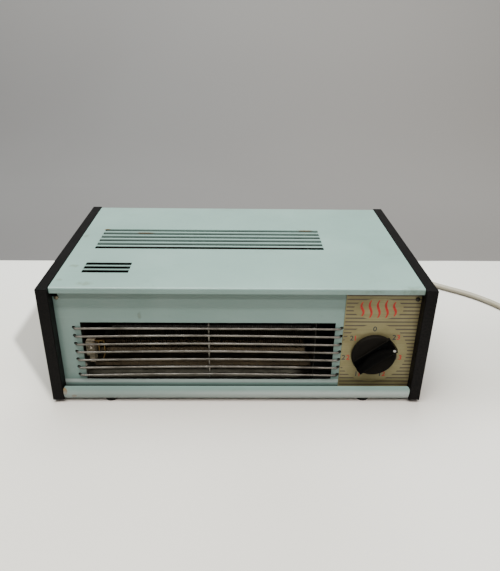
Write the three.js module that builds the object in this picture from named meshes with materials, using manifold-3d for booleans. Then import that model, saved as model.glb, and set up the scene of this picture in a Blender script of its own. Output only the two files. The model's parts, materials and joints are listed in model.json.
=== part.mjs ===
// A fan convector heater: a low sheet-metal case between two black plastic side panels.
// A cross-flow fan draws air in through the slots of the top cover and blows it past an
// open-wire heating element and out through the front grille. A rotary switch sets fan and heat.
//
// Units are millimetres. +Z is up, the front faces -Y and +X is to the right of someone facing
// the front. The origin is on the floor, below the middle of the heater's own outer box.

import * as THREE from "three";
import { mergeVertices } from "three/addons/utils/BufferGeometryUtils.js";
import Module from "manifold-3d";

const wasm = await Module();
wasm.setup();

// ---------------------------------------------------------------- driving dimensions

const GAP = 0.3; // between pieces that touch
const WIDTH = 410; // over the side panels
const SIDE_THICK = 12.5;
const SIDE_DEPTH = 260;
const SIDE_HEIGHT = 138;
const FOOT_HEIGHT = 3.5; // the side panels' lower edge above the floor
const KNOB_PROUD = 8; // how far the knob stands in front of the side panels
const SHEET = 1.2; // steel sheet thickness

const FRONT = -(SIDE_DEPTH - KNOB_PROUD) / 2; // Y of the side panels' front edge
const FLOOR = FOOT_HEIGHT; // Z of the side panels' lower edge
const INNER = WIDTH / 2 - SIDE_THICK - GAP; // half the width between the side panels

// Depths below are counted back from the side panels' front edge, heights up from their lower edge.
const COVER_FRONT = 4;
const COVER_REAR = 256.5;
const COVER_LIP = 6.5;
const COVER_REAR_LIP = 14;
const PANEL_FRONT = 12;
const PANEL_FLANGE = 14;
const PANEL_LOW = 7.5;
const BEAD = { front: 0.4, deep: 5, half: 10.2, start: 55 }; // an upright half ellipse cut off at its top
const PAN_REAR_LIP = 10;

const LONG_SLOT = { left: -168.5, right: 101.5, first: 110.2, pitch: 11.35, count: 6, width: 7 };
const SHORT_SLOT = { left: -168, right: -118, first: 43.5, pitch: 10, count: 3, width: 6.5 };
const WINDOW = { left: -167.5, right: 104.5, low: 20, high: 93 };

const WIRE = { radius: 1.4, depth: 10.2, left: -174.5, right: 111, low: 26.5, pitch: 10, count: 7, bend: 2.2 };
const STAY = { x: -31.5, radius: 1, depth: 12.9, back: 15.9, low: 22, high: 91.5 };
const PLATE = { left: 113, low: 8, high: 134.5, thick: 0.8 };

const DIAL = { x: 148.4, z: 55.6, positions: 7, set: 1 };
const KNOB = { radius: 24.5, low: 1.6, disc: 7.5, middle: 12, base: 8.5, ridge: 2.6 };
const GRIP = { reach: 25, rise: 8, tail: 22.5, tailRise: 6 }; // from the knob's middle to each end
const SPINDLE_RADIUS = 3;
const SCREW = { x: 188, z: 123, head: 2.3, shank: 1.4 };

const DUCT = { left: -170, right: 84, front: 16.5, low: 20, high: 93.6, top: 132 };
const FAN = { y: 138, z: 62, radius: 34, inner: 27, left: -158, right: 74, blades: 24 };
const SHAFT = { radius: 3, left: -168, right: 146 };
const ELEMENT = { y: 30, left: -138, right: 81, top: 79.5, middle: 48.5, bottom: 30, pitch: 4.8 };

const CORD_RADIUS = 4.25;
const CORD_REST = 4.3; // the height of a cord's middle where it lies on the floor
const EXIT = { x: 160, z: 24 }; // where the cord leaves the rear panel
const COIL = { x: 476, y: 74, z: 11.7, radius: 50, bundle: 10.3, tie: 100 };

// ---------------------------------------------------------------- finishes

const finish = (color, roughness, metalness) => ({ color, roughness, metalness });
const PAINT = finish(0xa2b4af, 0.45, 0.1);
const BLACK_PLASTIC = finish(0x1d1d1f, 0.6, 0);
const KNOB_PLASTIC = finish(0x161617, 0.4, 0);
const WHITE_PAINT = finish(0xe4e2da, 0.5, 0);
const GOLD = finish(0x9a8a55, 0.35, 0.8);
const NICKEL = finish(0xb3aa9c, 0.3, 1);
const ZINC = finish(0x8f9290, 0.45, 0.9);
const LAMINATION = finish(0x55585a, 0.5, 0.8);
const COPPER = finish(0x9a5a2c, 0.4, 0.9);
const BRASS = finish(0xb08a45, 0.35, 0.9);
const CERAMIC = finish(0xd9ceb4, 0.7, 0);
const MICA = finish(0xa98a5c, 0.6, 0);
const NICHROME = finish(0x6e665c, 0.5, 0.9);
const RUBBER = finish(0x161514, 0.85, 0);
const BAKELITE = finish(0x2a1d17, 0.4, 0);
const CREAM_PVC = finish(0xd8cfb6, 0.5, 0);
const BROWN_PVC = finish(0x5a3520, 0.5, 0);
const BLUE_PVC = finish(0x2b5f96, 0.5, 0);

// ---------------------------------------------------------------- geometry helpers

const depth = (y) => FRONT + y;
const height = (z) => FLOOR + z;
const radians = (degrees) => THREE.MathUtils.degToRad(degrees);

function solidOf(geometry) {
  const bare = geometry.clone();
  bare.deleteAttribute("normal");
  bare.deleteAttribute("uv");
  const merged = mergeVertices(bare, 1e-4);
  const vertProperties = new Float32Array(merged.attributes.position.array);
  const triVerts = new Uint32Array(merged.index.array);
  return new wasm.Manifold(new wasm.Mesh({ numProp: 3, vertProperties, triVerts }));
}

function geometryOf(solid) {
  const mesh = solid.getMesh();
  const geometry = new THREE.BufferGeometry();
  geometry.setAttribute("position", new THREE.BufferAttribute(mesh.vertProperties, 3));
  geometry.setIndex(new THREE.BufferAttribute(mesh.triVerts, 1));
  return geometry;
}

const cut = (geometry, ...tools) =>
  geometryOf(tools.reduce((solid, tool) => solid.subtract(solidOf(tool)), solidOf(geometry)));
const join = (geometry, ...others) =>
  geometryOf(others.reduce((solid, other) => solid.add(solidOf(other)), solidOf(geometry)));
const common = (a, b) => geometryOf(solidOf(a).intersect(solidOf(b)));

// A box from its lowest to its highest corner.
function block(x0, y0, z0, x1, y1, z1) {
  const box = new THREE.BoxGeometry(x1 - x0, y1 - y0, z1 - z0);
  return box.translate((x0 + x1) / 2, (y0 + y1) / 2, (z0 + z1) / 2);
}

const shapeOf = (points) => new THREE.Shape(points.map(([x, y]) => new THREE.Vector2(x, y)));

function extruded(shape, length, bevel = 0) {
  const options = { depth: length - 2 * bevel, bevelEnabled: bevel > 0, curveSegments: 6 };
  Object.assign(options, { bevelThickness: bevel, bevelSize: bevel, bevelOffset: -bevel, bevelSegments: 1 });
  return new THREE.ExtrudeGeometry(shape, options).translate(0, 0, bevel);
}

// A (Y, Z) outline run along X, from x0 to x1.
function alongX(shape, x0, x1, bevel = 0) {
  const turn = new THREE.Matrix4().makeBasis(
    new THREE.Vector3(0, 1, 0),
    new THREE.Vector3(0, 0, 1),
    new THREE.Vector3(1, 0, 0),
  );
  return extruded(shape, x1 - x0, bevel).applyMatrix4(turn).translate(x0, 0, 0);
}

// An (X, Z) outline run along Y, from y0 to y1.
const alongY = (shape, y0, y1, bevel = 0) =>
  extruded(shape, y1 - y0, bevel).rotateX(Math.PI / 2).translate(0, y1, 0);

// An (X, Y) outline run up Z, from z0 to z1.
const alongZ = (shape, z0, z1, bevel = 0) => extruded(shape, z1 - z0, bevel).translate(0, 0, z0);

// The points of an open line with each corner rounded by an arc.
function rounded(points, radius, steps = 3) {
  const line = points.map((point) => new THREE.Vector3(...point));
  const result = [line[0]];
  for (let i = 1; i < line.length - 1; i += 1) {
    const back = line[i - 1].clone().sub(line[i]).normalize();
    const ahead = line[i + 1].clone().sub(line[i]).normalize();
    const half = back.angleTo(ahead) / 2;
    const away = back.clone().add(ahead).normalize().multiplyScalar(radius / Math.sin(half));
    const centre = line[i].clone().add(away);
    const from = line[i].clone().addScaledVector(back, radius / Math.tan(half)).sub(centre);
    const to = line[i].clone().addScaledVector(ahead, radius / Math.tan(half)).sub(centre);
    const axis = from.clone().cross(to).normalize();
    const sweep = from.angleTo(to);
    for (let k = 0; k <= steps; k += 1) {
      result.push(from.clone().applyAxisAngle(axis, (sweep * k) / steps).add(centre));
    }
  }
  result.push(line[line.length - 1]);
  return result.map((point) => point.toArray());
}

// The outline of a sheet or ribbon whose one face follows a line; it is as thick as `thick`
// on the line's left side, or on its right side where `thick` is negative.
function sheetOutline(points, thick = SHEET) {
  const line = points.map(([x, y]) => new THREE.Vector2(x, y));
  const offset = line.map((point, i) => {
    const before = point.clone().sub(line[Math.max(i - 1, 0)]).normalize();
    const after = line[Math.min(i + 1, line.length - 1)].clone().sub(point).normalize();
    const first = i > 0 ? before : after;
    const second = i < line.length - 1 ? after : before;
    const left = new THREE.Vector2(-first.y - second.y, first.x + second.x).normalize();
    const stretch = left.dot(new THREE.Vector2(-first.y, first.x));
    return point.clone().addScaledVector(left, thick / stretch);
  });
  return new THREE.Shape([...line, ...offset.reverse()]);
}

const folded = (points, bend, thick = SHEET) =>
  sheetOutline(rounded(points.map(([x, y]) => [x, y, 0]), bend), thick);

// A path with one section at each of its points.
class PointPath extends THREE.Curve {
  constructor(points) {
    super();
    this.points = points.map((point) => new THREE.Vector3(...point));
  }

  getPoint(t) {
    return this.points[Math.round(t * (this.points.length - 1))].clone();
  }

  getSpacedPoints() {
    return this.points.map((point) => point.clone());
  }

  getTangentAt(t) {
    const i = Math.round(t * (this.points.length - 1));
    const before = this.points[Math.max(i - 1, 0)];
    const after = this.points[Math.min(i + 1, this.points.length - 1)];
    return after.clone().sub(before).normalize();
  }
}

function polygon(radius, sides) {
  const corner = (k) => [
    radius * Math.cos((2 * Math.PI * (k + 0.5)) / sides),
    radius * Math.sin((2 * Math.PI * (k + 0.5)) / sides),
  ];
  return shapeOf(Array.from({ length: sides }, (_, k) => corner(k)));
}

function tube(points, radius, sides) {
  const options = { steps: points.length - 1, extrudePath: new PointPath(points), bevelEnabled: false };
  return new THREE.ExtrudeGeometry(polygon(radius, sides), options);
}

// A turned piece: the profile's points are (radius, height), and it stands up the Z axis.
const turned = (profile, sides = 20) =>
  new THREE.LatheGeometry(profile.map(([x, y]) => new THREE.Vector2(x, y)), sides).rotateX(Math.PI / 2);
const pin = (radius, z0, z1, sides = 12) => turned([[0, z0], [radius, z0], [radius, z1], [0, z1]], sides);

// The same, with the profile's heights counted along +X, or towards the front along -Y.
const turnedX = (profile, sides) => turned(profile, sides).rotateY(Math.PI / 2);
const turnedFront = (profile, sides) => turned(profile, sides).rotateX(Math.PI / 2);
const pinX = (radius, x0, x1, sides) => pin(radius, x0, x1, sides).rotateY(Math.PI / 2);
const pinY = (radius, y0, y1, sides) => pin(radius, -y1, -y0, sides).rotateX(Math.PI / 2);

// ---------------------------------------------------------------- the assembly

const heater = new THREE.Group();

function add(name, geometry, look, parent = heater) {
  const mesh = new THREE.Mesh(geometry, new THREE.MeshStandardMaterial(look));
  mesh.name = name;
  parent.add(mesh);
  return mesh;
}

// Side panels: moulded boards, hollowed on the inner side behind a rim and a cross rib.
const SIDE_WALL = 3;
const SIDE_RIM = 16;
for (const side of [-1, 1]) {
  const outline = shapeOf([[0, 0], [SIDE_DEPTH, 0], [SIDE_DEPTH, SIDE_HEIGHT], [0, SIDE_HEIGHT]]);
  const board = alongX(outline, 0, SIDE_THICK, 1.2);
  const middle = SIDE_DEPTH / 2;
  const pocket = (y0, y1) => block(-1, y0, SIDE_RIM, SIDE_THICK - SIDE_WALL, y1, SIDE_HEIGHT - SIDE_RIM);
  const panel = cut(board, pocket(SIDE_RIM + 14, middle - 2), pocket(middle + 2, SIDE_DEPTH - SIDE_RIM));
  const mesh = add(side < 0 ? "side_panel_left" : "side_panel_right", panel, BLACK_PLASTIC);
  mesh.position.set(side * (WIDTH / 2 - SIDE_THICK), depth(side < 0 ? SIDE_DEPTH : 0), height(0));
  mesh.rotation.z = side < 0 ? Math.PI : 0;
}

// Top cover: one sheet with a lip folded down at the front and at the rear, and the air slots.
function slotCuts({ left, right, first, pitch, count, width }) {
  const slot = (y) => block(left, y - width / 2, SIDE_HEIGHT - 4, right, y + width / 2, SIDE_HEIGHT + 1);
  return Array.from({ length: count }, (_, i) => slot(first + i * pitch));
}
const coverLine = [
  [COVER_REAR, SIDE_HEIGHT - COVER_REAR_LIP],
  [COVER_REAR, SIDE_HEIGHT],
  [COVER_FRONT, SIDE_HEIGHT],
  [COVER_FRONT, SIDE_HEIGHT - COVER_LIP],
];
const coverSheet = alongX(folded(coverLine, 2), -INNER, INNER);
const cover = add("top_cover", cut(coverSheet, ...slotCuts(LONG_SLOT), ...slotCuts(SHORT_SLOT)), PAINT);
cover.position.set(0, depth(0), height(0));

// Front panel: a sheet with a flange turned back at the top; its lower edge is behind the bead.
const wireHeight = (i) => WIRE.low + i * WIRE.pitch;
const wireIndexes = Array.from({ length: WIRE.count }, (_, i) => i);
const hole = (x, z, radius, sides = 8) =>
  pinY(radius, PANEL_FRONT - 4, PANEL_FRONT + 4, sides).translate(x, 0, z);
const panelLine = [
  [PANEL_FRONT, PANEL_LOW],
  [PANEL_FRONT, SIDE_HEIGHT - SHEET - GAP],
  [PANEL_FRONT + PANEL_FLANGE, SIDE_HEIGHT - SHEET - GAP],
];
const panelHoles = [
  block(WINDOW.left, PANEL_FRONT - 4, WINDOW.low, WINDOW.right, PANEL_FRONT + 4, WINDOW.high),
  ...wireIndexes.map((i) => hole(WIRE.left, wireHeight(i), WIRE.radius + 0.4)),
  ...wireIndexes.map((i) => hole(WIRE.right, wireHeight(i), WIRE.radius + 0.4)),
  hole(-SCREW.x, SCREW.z, SCREW.shank + 0.4),
  hole(SCREW.x, SCREW.z, SCREW.shank + 0.4),
  hole(DIAL.x, DIAL.z, SPINDLE_RADIUS + 2, 12),
];
const frontSheet = alongX(folded(panelLine, 1.8, -SHEET), -INNER, INNER);
add("front_panel", cut(frontSheet, ...panelHoles), PAINT).position.set(0, depth(0), height(0));

// Control plate: a thin anodised plate on the right of the front panel.
const plateFront = PANEL_FRONT - GAP - PLATE.thick;
const plateBlank = block(PLATE.left, plateFront, PLATE.low, INNER, PANEL_FRONT - GAP, PLATE.high);
const plate = cut(
  plateBlank,
  hole(SCREW.x, SCREW.z, SCREW.shank + 0.4),
  hole(DIAL.x, DIAL.z, SPINDLE_RADIUS + 2, 12),
);
add("control_plate", plate, GOLD).position.set(0, depth(0), height(0));

// Base pan: the floor of the case, rolled into a bead at the front and turned up at the rear.
const FOOT = { x: 142, front: 10.5, rear: 236, radius: 7.5, neck: 2.7 };
const feet = [
  ["foot_front_left", -FOOT.x, FOOT.front],
  ["foot_front_right", FOOT.x, FOOT.front],
  ["foot_rear_left", -FOOT.x, FOOT.rear],
  ["foot_rear_right", FOOT.x, FOOT.rear],
];
const beadArc = (degrees) => [
  BEAD.front + BEAD.deep - BEAD.deep * Math.cos(radians(degrees)),
  BEAD.half * (1 + Math.sin(radians(degrees))),
];
const beadLine = [BEAD.start, 40, 25, 10, -5, -20, -35, -50, -70, -90].map(beadArc);
const panLine = [...beadLine, [COVER_REAR, 0], [COVER_REAR, PAN_REAR_LIP]];
const panHoles = feet.map(([, x, y]) => pin(FOOT.neck + GAP, -3, 5).translate(x, y, 0));
const panSheet = alongX(sheetOutline(panLine), -INNER, INNER);
add("base_pan", cut(panSheet, ...panHoles), PAINT).position.set(0, depth(0), height(0));

// Feet: rubber buttons pushed up through the base pan.
const footProfile = [
  [0, 0], [FOOT.radius - 1, 0], [FOOT.radius, 1], [FOOT.radius, FOOT_HEIGHT - GAP],
  [FOOT.neck, FOOT_HEIGHT - GAP], [FOOT.neck, FOOT_HEIGHT + SHEET + GAP],
  [FOOT.neck + 1.8, FOOT_HEIGHT + SHEET + GAP], [FOOT.neck - 0.7, FOOT_HEIGHT + SHEET + 5],
  [0, FOOT_HEIGHT + SHEET + 5],
];
for (const [name, x, y] of feet) {
  add(name, turned(footProfile, 16), RUBBER).position.set(x, depth(y), 0);
}

// Rear panel: a flat sheet held inside the lips of the cover and the pan, with the cord's hole.
const REAR_FACE = COVER_REAR - SHEET - GAP;
const GLAND = { flange: 9, neck: 6.6, tip: 5.6, length: 38, bore: CORD_RADIUS + GAP + 0.1 };
const rearLow = SHEET + 2 * GAP;
const rearHigh = SIDE_HEIGHT - SHEET - 2 * GAP;
const rearBlank = block(-INNER, REAR_FACE - SHEET, rearLow, INNER, REAR_FACE, rearHigh);
const cordBore = pinY(GLAND.neck + GAP, REAR_FACE - 5, REAR_FACE + 5, 16);
const cordHole = cordBore.translate(EXIT.x, 0, EXIT.z - FLOOR);
add("rear_panel", cut(rearBlank, cordHole), PAINT).position.set(0, depth(0), height(0));

// Grille: bent wires whose ends pass back through the front panel, and a stay rod welded
// behind them, bent back inside the window at its ends.
const wireEnd = depth(PANEL_FRONT + SHEET + 4);
wireIndexes.forEach((i) => {
  const z = height(wireHeight(i));
  const line = [
    [WIRE.left, wireEnd, z],
    [WIRE.left, depth(WIRE.depth), z],
    [WIRE.right, depth(WIRE.depth), z],
    [WIRE.right, wireEnd, z],
  ];
  add(`grille_wire_${i + 1}`, tube(rounded(line, WIRE.bend, 4), WIRE.radius, 8), NICKEL);
});
const stayLine = [
  [STAY.x, depth(STAY.back), height(STAY.low)],
  [STAY.x, depth(STAY.depth), height(STAY.low)],
  [STAY.x, depth(STAY.depth), height(STAY.high)],
  [STAY.x, depth(STAY.back), height(STAY.high)],
];
add("grille_stay_rod", tube(rounded(stayLine, 2, 3), STAY.radius, 8), NICKEL);

// Front screws: pan heads at the upper corners, into the side panels' edges.
for (const side of [-1, 1]) {
  const seat = side < 0 ? PANEL_FRONT - GAP : plateFront - GAP;
  const profile = [
    [0, -seat - 8], [SCREW.shank, -seat - 8], [SCREW.shank, -seat], [SCREW.head, -seat],
    [SCREW.head, -seat + 0.8], [SCREW.head * 0.6, -seat + 1.5], [0, -seat + 1.6],
  ];
  const name = side < 0 ? "front_screw_left" : "front_screw_right";
  add(name, turnedFront(profile, 12), NICKEL).position.set(side * SCREW.x, depth(0), height(SCREW.z));
}

// Selector: a round knob with a saddle-backed grip bar and a white dot, turning with its spindle.
// Inside this group +Z points out of the front, +X along the grip towards the dot, and heights
// are counted from the front panel's face.
const selector = new THREE.Group();
selector.position.set(DIAL.x, depth(PANEL_FRONT), height(DIAL.z));
selector.rotation.set(Math.PI / 2, 0, 0);
selector.rotateZ(radians(90 - (DIAL.set * 360) / DIAL.positions));
heater.add(selector);

const knobDisc = turned([
  [0, KNOB.low], [KNOB.radius - 0.5, KNOB.low], [KNOB.radius, KNOB.low + 0.6],
  [KNOB.radius, KNOB.disc - 1.2], [KNOB.radius - 1.2, KNOB.disc], [0, KNOB.disc],
], 40);
const saddleArc = (t) =>
  t < 0
    ? [GRIP.tail * t, KNOB.middle + GRIP.tailRise * t * t]
    : [GRIP.reach * t, KNOB.middle + GRIP.rise * t * t];
const gripTop = KNOB.middle + GRIP.rise + 1;
const saddle = [-1, -0.8, -0.6, -0.4, -0.2, 0, 0.2, 0.4, 0.6, 0.8, 1].map(saddleArc);
const barSide = alongY(shapeOf([[-GRIP.tail, 3], [GRIP.reach, 3], ...saddle.reverse()]), -12, 12);
const barEnd = alongX(shapeOf([
  [-KNOB.base, 3], [KNOB.base, 3], [KNOB.base, KNOB.disc], [KNOB.ridge, gripTop],
  [-KNOB.ridge, gripTop], [-KNOB.base, KNOB.disc],
]), -30, 30);
const DOT = { x: 22.8, radius: 1.6, top: 19 };
const dotRecess = pin(DOT.radius + GAP, DOT.top - 0.9, DOT.top + 4).translate(DOT.x, 0, 0);
const knobBore = pin(SPINDLE_RADIUS + GAP, 0, 10);
const knobBlank = join(knobDisc, common(barSide, barEnd));
add("selector_knob", cut(knobBlank, dotRecess, knobBore), KNOB_PLASTIC, selector);
const dot = pin(DOT.radius, DOT.top - 0.6, DOT.top, 12).translate(DOT.x, 0, 0);
add("knob_pointer_dot", dot, WHITE_PAINT, selector);
add("switch_spindle", pin(SPINDLE_RADIUS, -18, 9.6), NICKEL, selector);

// Switch: a moulded body on a hat-shaped bracket behind the front panel, held by a hexagon nut.
const HAT = { foot: PANEL_FRONT + SHEET + GAP, face: 22, half: 18.5, reach: 30.5, low: 38, high: 74 };
const hatLine = [
  [DIAL.x - HAT.reach, HAT.foot], [DIAL.x - HAT.half, HAT.foot], [DIAL.x - HAT.half, HAT.face],
  [DIAL.x + HAT.half, HAT.face], [DIAL.x + HAT.half, HAT.foot], [DIAL.x + HAT.reach, HAT.foot],
];
const hatSheet = alongZ(sheetOutline(hatLine), HAT.low, HAT.high);
const BUSH_RADIUS = 5;
const bushHole = pinY(BUSH_RADIUS + GAP, HAT.face - 4, HAT.face + 4, 16).translate(DIAL.x, 0, DIAL.z);
add("switch_bracket", cut(hatSheet, bushHole), ZINC).position.set(0, depth(0), height(0));
const switchFront = HAT.face + SHEET + GAP;
const SWITCH = { half: 18, deep: 34 };
const switchBlock = block(
  DIAL.x - SWITCH.half, switchFront, DIAL.z - SWITCH.half,
  DIAL.x + SWITCH.half, switchFront + SWITCH.deep, DIAL.z + SWITCH.half,
);
const switchBush = pinY(BUSH_RADIUS, HAT.face - 3.6, switchFront + 2, 16).translate(DIAL.x, 0, DIAL.z);
const spindleBore = pinY(SPINDLE_RADIUS + GAP, HAT.face - 6, HAT.face + 10, 12);
const switchBore = spindleBore.translate(DIAL.x, 0, DIAL.z);
const switchMoulding = cut(join(switchBlock, switchBush), switchBore);
add("switch_body", switchMoulding, BAKELITE).position.set(0, depth(0), height(0));
const nutBlank = pinY(8, HAT.face - 3.3, HAT.face - GAP, 6).translate(DIAL.x, 0, DIAL.z);
add("switch_nut", cut(nutBlank, bushHole), BRASS).position.set(0, depth(0), height(0));

// Fan: a cross-flow impeller of curved blades between discs, on one shaft with the motor's rotor.
const fan = new THREE.Group();
fan.position.set(0, depth(FAN.y), height(FAN.z));
heater.add(fan);
const BLADE = { thick: 1, lean: 24 };
const bladeOutline = [0, 0.5, 1].map((t) => {
  const radius = FAN.inner - 1 + t * (FAN.radius - FAN.inner + 0.6);
  const angle = radians(BLADE.lean) * t * t * 0.5;
  return [radius * Math.cos(angle), radius * Math.sin(angle)];
});
const blade = (i) =>
  alongX(sheetOutline(bladeOutline, BLADE.thick), FAN.left + 1, FAN.right - 1)
    .rotateX((2 * Math.PI * i) / FAN.blades);
const blades = Array.from({ length: FAN.blades }, (_, i) => blade(i));
const fanRing = (x0, x1, inner) =>
  turnedX([[inner, x0], [FAN.radius, x0], [FAN.radius, x1], [inner, x1], [inner, x0]], 24);
const fanMiddle = (FAN.left + FAN.right) / 2;
const hubBore = SHAFT.radius + GAP;
const hub = (x0, x1) => turnedX([[hubBore, x0], [8, x0], [8, x1], [hubBore, x1], [hubBore, x0]], 16);
const impeller = join(
  fanRing(FAN.left, FAN.left + 2, hubBore),
  fanRing(fanMiddle - 1, fanMiddle + 1, FAN.inner - 3),
  fanRing(FAN.right - 2, FAN.right, hubBore),
  hub(FAN.left + 0.5, FAN.left + 12),
  hub(FAN.right - 12, FAN.right - 0.5),
  ...blades,
);
add("fan_impeller", impeller, ZINC, fan);
add("fan_shaft", pinX(SHAFT.radius, SHAFT.left, SHAFT.right, 12), NICKEL, fan);
const ROTOR = { radius: 14, left: 113, right: 131 };
const rotorProfile = [
  [hubBore, ROTOR.left], [ROTOR.radius, ROTOR.left], [ROTOR.radius, ROTOR.right],
  [hubBore, ROTOR.right], [hubBore, ROTOR.left],
];
add("motor_rotor", turnedX(rotorProfile, 20), LAMINATION, fan);

// Duct: end walls, a scroll that is the duct's floor too, and the wall above with its tongue.
const scrollArc = (degrees) => {
  const radius = 38 + ((degrees + 90) / 150) * 12;
  return [FAN.y + radius * Math.cos(radians(degrees)), FAN.z + radius * Math.sin(radians(degrees))];
};
const scrollLine = [
  [DUCT.front, DUCT.low], [100, DUCT.low + 1.5],
  ...[-75, -55, -35, -15, 5, 25, 45, 60].map(scrollArc), [163, 128],
];
const scroll = alongX(sheetOutline(scrollLine, -SHEET), DUCT.left + SHEET + GAP, DUCT.right - GAP);
add("fan_scroll", scroll, ZINC).position.set(0, depth(0), height(0));
const tongueLine = [[DUCT.front, DUCT.high], [88, 97], [103, 92], [108, 96], [112, 124]];
const tongue = alongX(sheetOutline(tongueLine), DUCT.left + SHEET + GAP, DUCT.right - GAP);
add("fan_tongue", tongue, ZINC).position.set(0, depth(0), height(0));

const wallOutline = shapeOf([[DUCT.front, 3], [200, 3], [200, DUCT.top], [DUCT.front, DUCT.top]]);
const BUSH = { outer: 9, flange: 12 };
const bushSeat = (x) => pinX(BUSH.outer + GAP, x - 4, x + 4, 20).translate(0, FAN.y, FAN.z);
const leftWall = cut(alongX(wallOutline, DUCT.left, DUCT.left + SHEET), bushSeat(DUCT.left));
add("duct_wall_left", leftWall, ZINC).position.set(0, depth(0), height(0));
const rightWall = cut(alongX(wallOutline, DUCT.right, DUCT.right + SHEET), bushSeat(DUCT.right));
add("duct_wall_right", rightWall, ZINC).position.set(0, depth(0), height(0));
const bushProfile = [
  [hubBore, -6], [BUSH.outer, -6], [BUSH.outer, SHEET + GAP], [BUSH.flange, SHEET + GAP],
  [BUSH.flange, SHEET + 3], [hubBore, SHEET + 3], [hubBore, -6],
];
const bush = add("fan_bearing_bush", turnedX(bushProfile, 20), RUBBER);
bush.position.set(DUCT.left, depth(FAN.y), height(FAN.z));

// Motor: a shaded-pole motor with its coil on the rear leg, between two brackets on the base pan.
const STATOR = { left: 112, right: 132, front: -24, back: 50, half: 24, leg: 10, window: 14 };
const coreOutline = shapeOf([
  [STATOR.front, -STATOR.half], [STATOR.back, -STATOR.half],
  [STATOR.back, STATOR.half], [STATOR.front, STATOR.half],
]);
const core = alongX(coreOutline, STATOR.left, STATOR.right);
const coreWindow = block(
  STATOR.left - 1, 22, -STATOR.window,
  STATOR.right + 1, STATOR.back - STATOR.leg, STATOR.window,
);
const coreBore = pinX(ROTOR.radius + 0.6, STATOR.left - 1, STATOR.right + 1, 24);
const stator = add("motor_stator", cut(core, coreWindow, coreBore), LAMINATION);
stator.position.set(0, depth(FAN.y), height(FAN.z));
const COIL_WALL = { side: 4, back: 8, half: 12.5 };
const legFront = STATOR.back - STATOR.leg - GAP;
const winding = block(
  STATOR.left - COIL_WALL.side, legFront - COIL_WALL.back, -COIL_WALL.half,
  STATOR.right + COIL_WALL.side, STATOR.back + COIL_WALL.back, COIL_WALL.half,
);
const legHole = block(STATOR.left - GAP, legFront, -20, STATOR.right + GAP, STATOR.back + GAP, 20);
const coil = add("motor_coil", cut(winding, legHole), COPPER);
coil.position.set(0, depth(FAN.y), height(FAN.z));
for (const [name, x, way] of [["motor_bracket_inner", 102, -1], ["motor_bracket_outer", 141.5, 1]]) {
  const line = [[x + way * 12, SHEET + GAP], [x, SHEET + GAP], [x, FAN.z + 20]];
  const plan = folded(line, 2, way > 0 ? -SHEET : SHEET);
  const bracket = alongY(plan, FAN.y - 22, FAN.y + 54);
  const shaftHole = pinX(hubBore, x - 4, x + 4, 12).translate(0, FAN.y, FAN.z);
  add(name, cut(bracket, shaftHole), ZINC).position.set(0, depth(0), height(0));
}

// Heating element: resistance wire laced up and down between notched mica rails, in two banks.
const RAIL_DEPTH = 22;
const railFront = ELEMENT.y - 3;
const rails = [
  ["element_rail_top", ELEMENT.top, ELEMENT.left, ELEMENT.right, 3],
  ["element_rail_middle", ELEMENT.middle, ELEMENT.left - 15, ELEMENT.right - 6, 6],
  ["element_rail_bottom", ELEMENT.bottom, ELEMENT.left - 23, ELEMENT.right + 2, 3],
];
for (const [name, z, left, right, tall] of rails) {
  const rail = block(left, railFront, z - tall / 2, right, railFront + RAIL_DEPTH, z + tall / 2);
  add(name, rail, MICA).position.set(0, depth(0), height(0));
}
const WIRE_WIDTH = 0.9;
const lacing = (first) => {
  const low = ELEMENT.middle + 3 + GAP;
  const high = ELEMENT.top - 1.5 - GAP;
  const legs = Math.floor((ELEMENT.right - 4 - first) / ELEMENT.pitch);
  const line = [];
  for (let i = 0; i <= legs; i += 1) {
    const x = first + i * ELEMENT.pitch;
    line.push(...(i % 2 ? [[x, high - 1], [x, low]] : [[x, low], [x, high - 1]]));
  }
  return sheetOutline(line, WIRE_WIDTH);
};
const banks = [
  ["element_winding_front", ELEMENT.left + 3, ELEMENT.y],
  ["element_winding_rear", ELEMENT.left + 3 + ELEMENT.pitch / 2, ELEMENT.y + 13],
];
for (const [name, first, y] of banks) {
  const winding = alongY(lacing(first), y, y + WIRE_WIDTH);
  add(name, winding, NICHROME).position.set(0, depth(0), height(0));
}

// Thermal cutout: a stepped ceramic block at the left of the duct with a bimetal blade beside it.
const ceramic = join(
  block(-166, 17, 48, -157, 30, 66),
  block(-163.5, 18, 39, -157.6, 29, 49),
);
add("cutout_block", ceramic, CERAMIC).position.set(0, depth(0), height(0));
const bladeLine = [[-156.4, 66], [-146, 66], [-146, 50], [-149, 42]];
const bimetal = alongY(sheetOutline(bladeLine, -0.8), 19, 27);
add("cutout_blade", bimetal, BRASS).position.set(0, depth(0), height(0));

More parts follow.
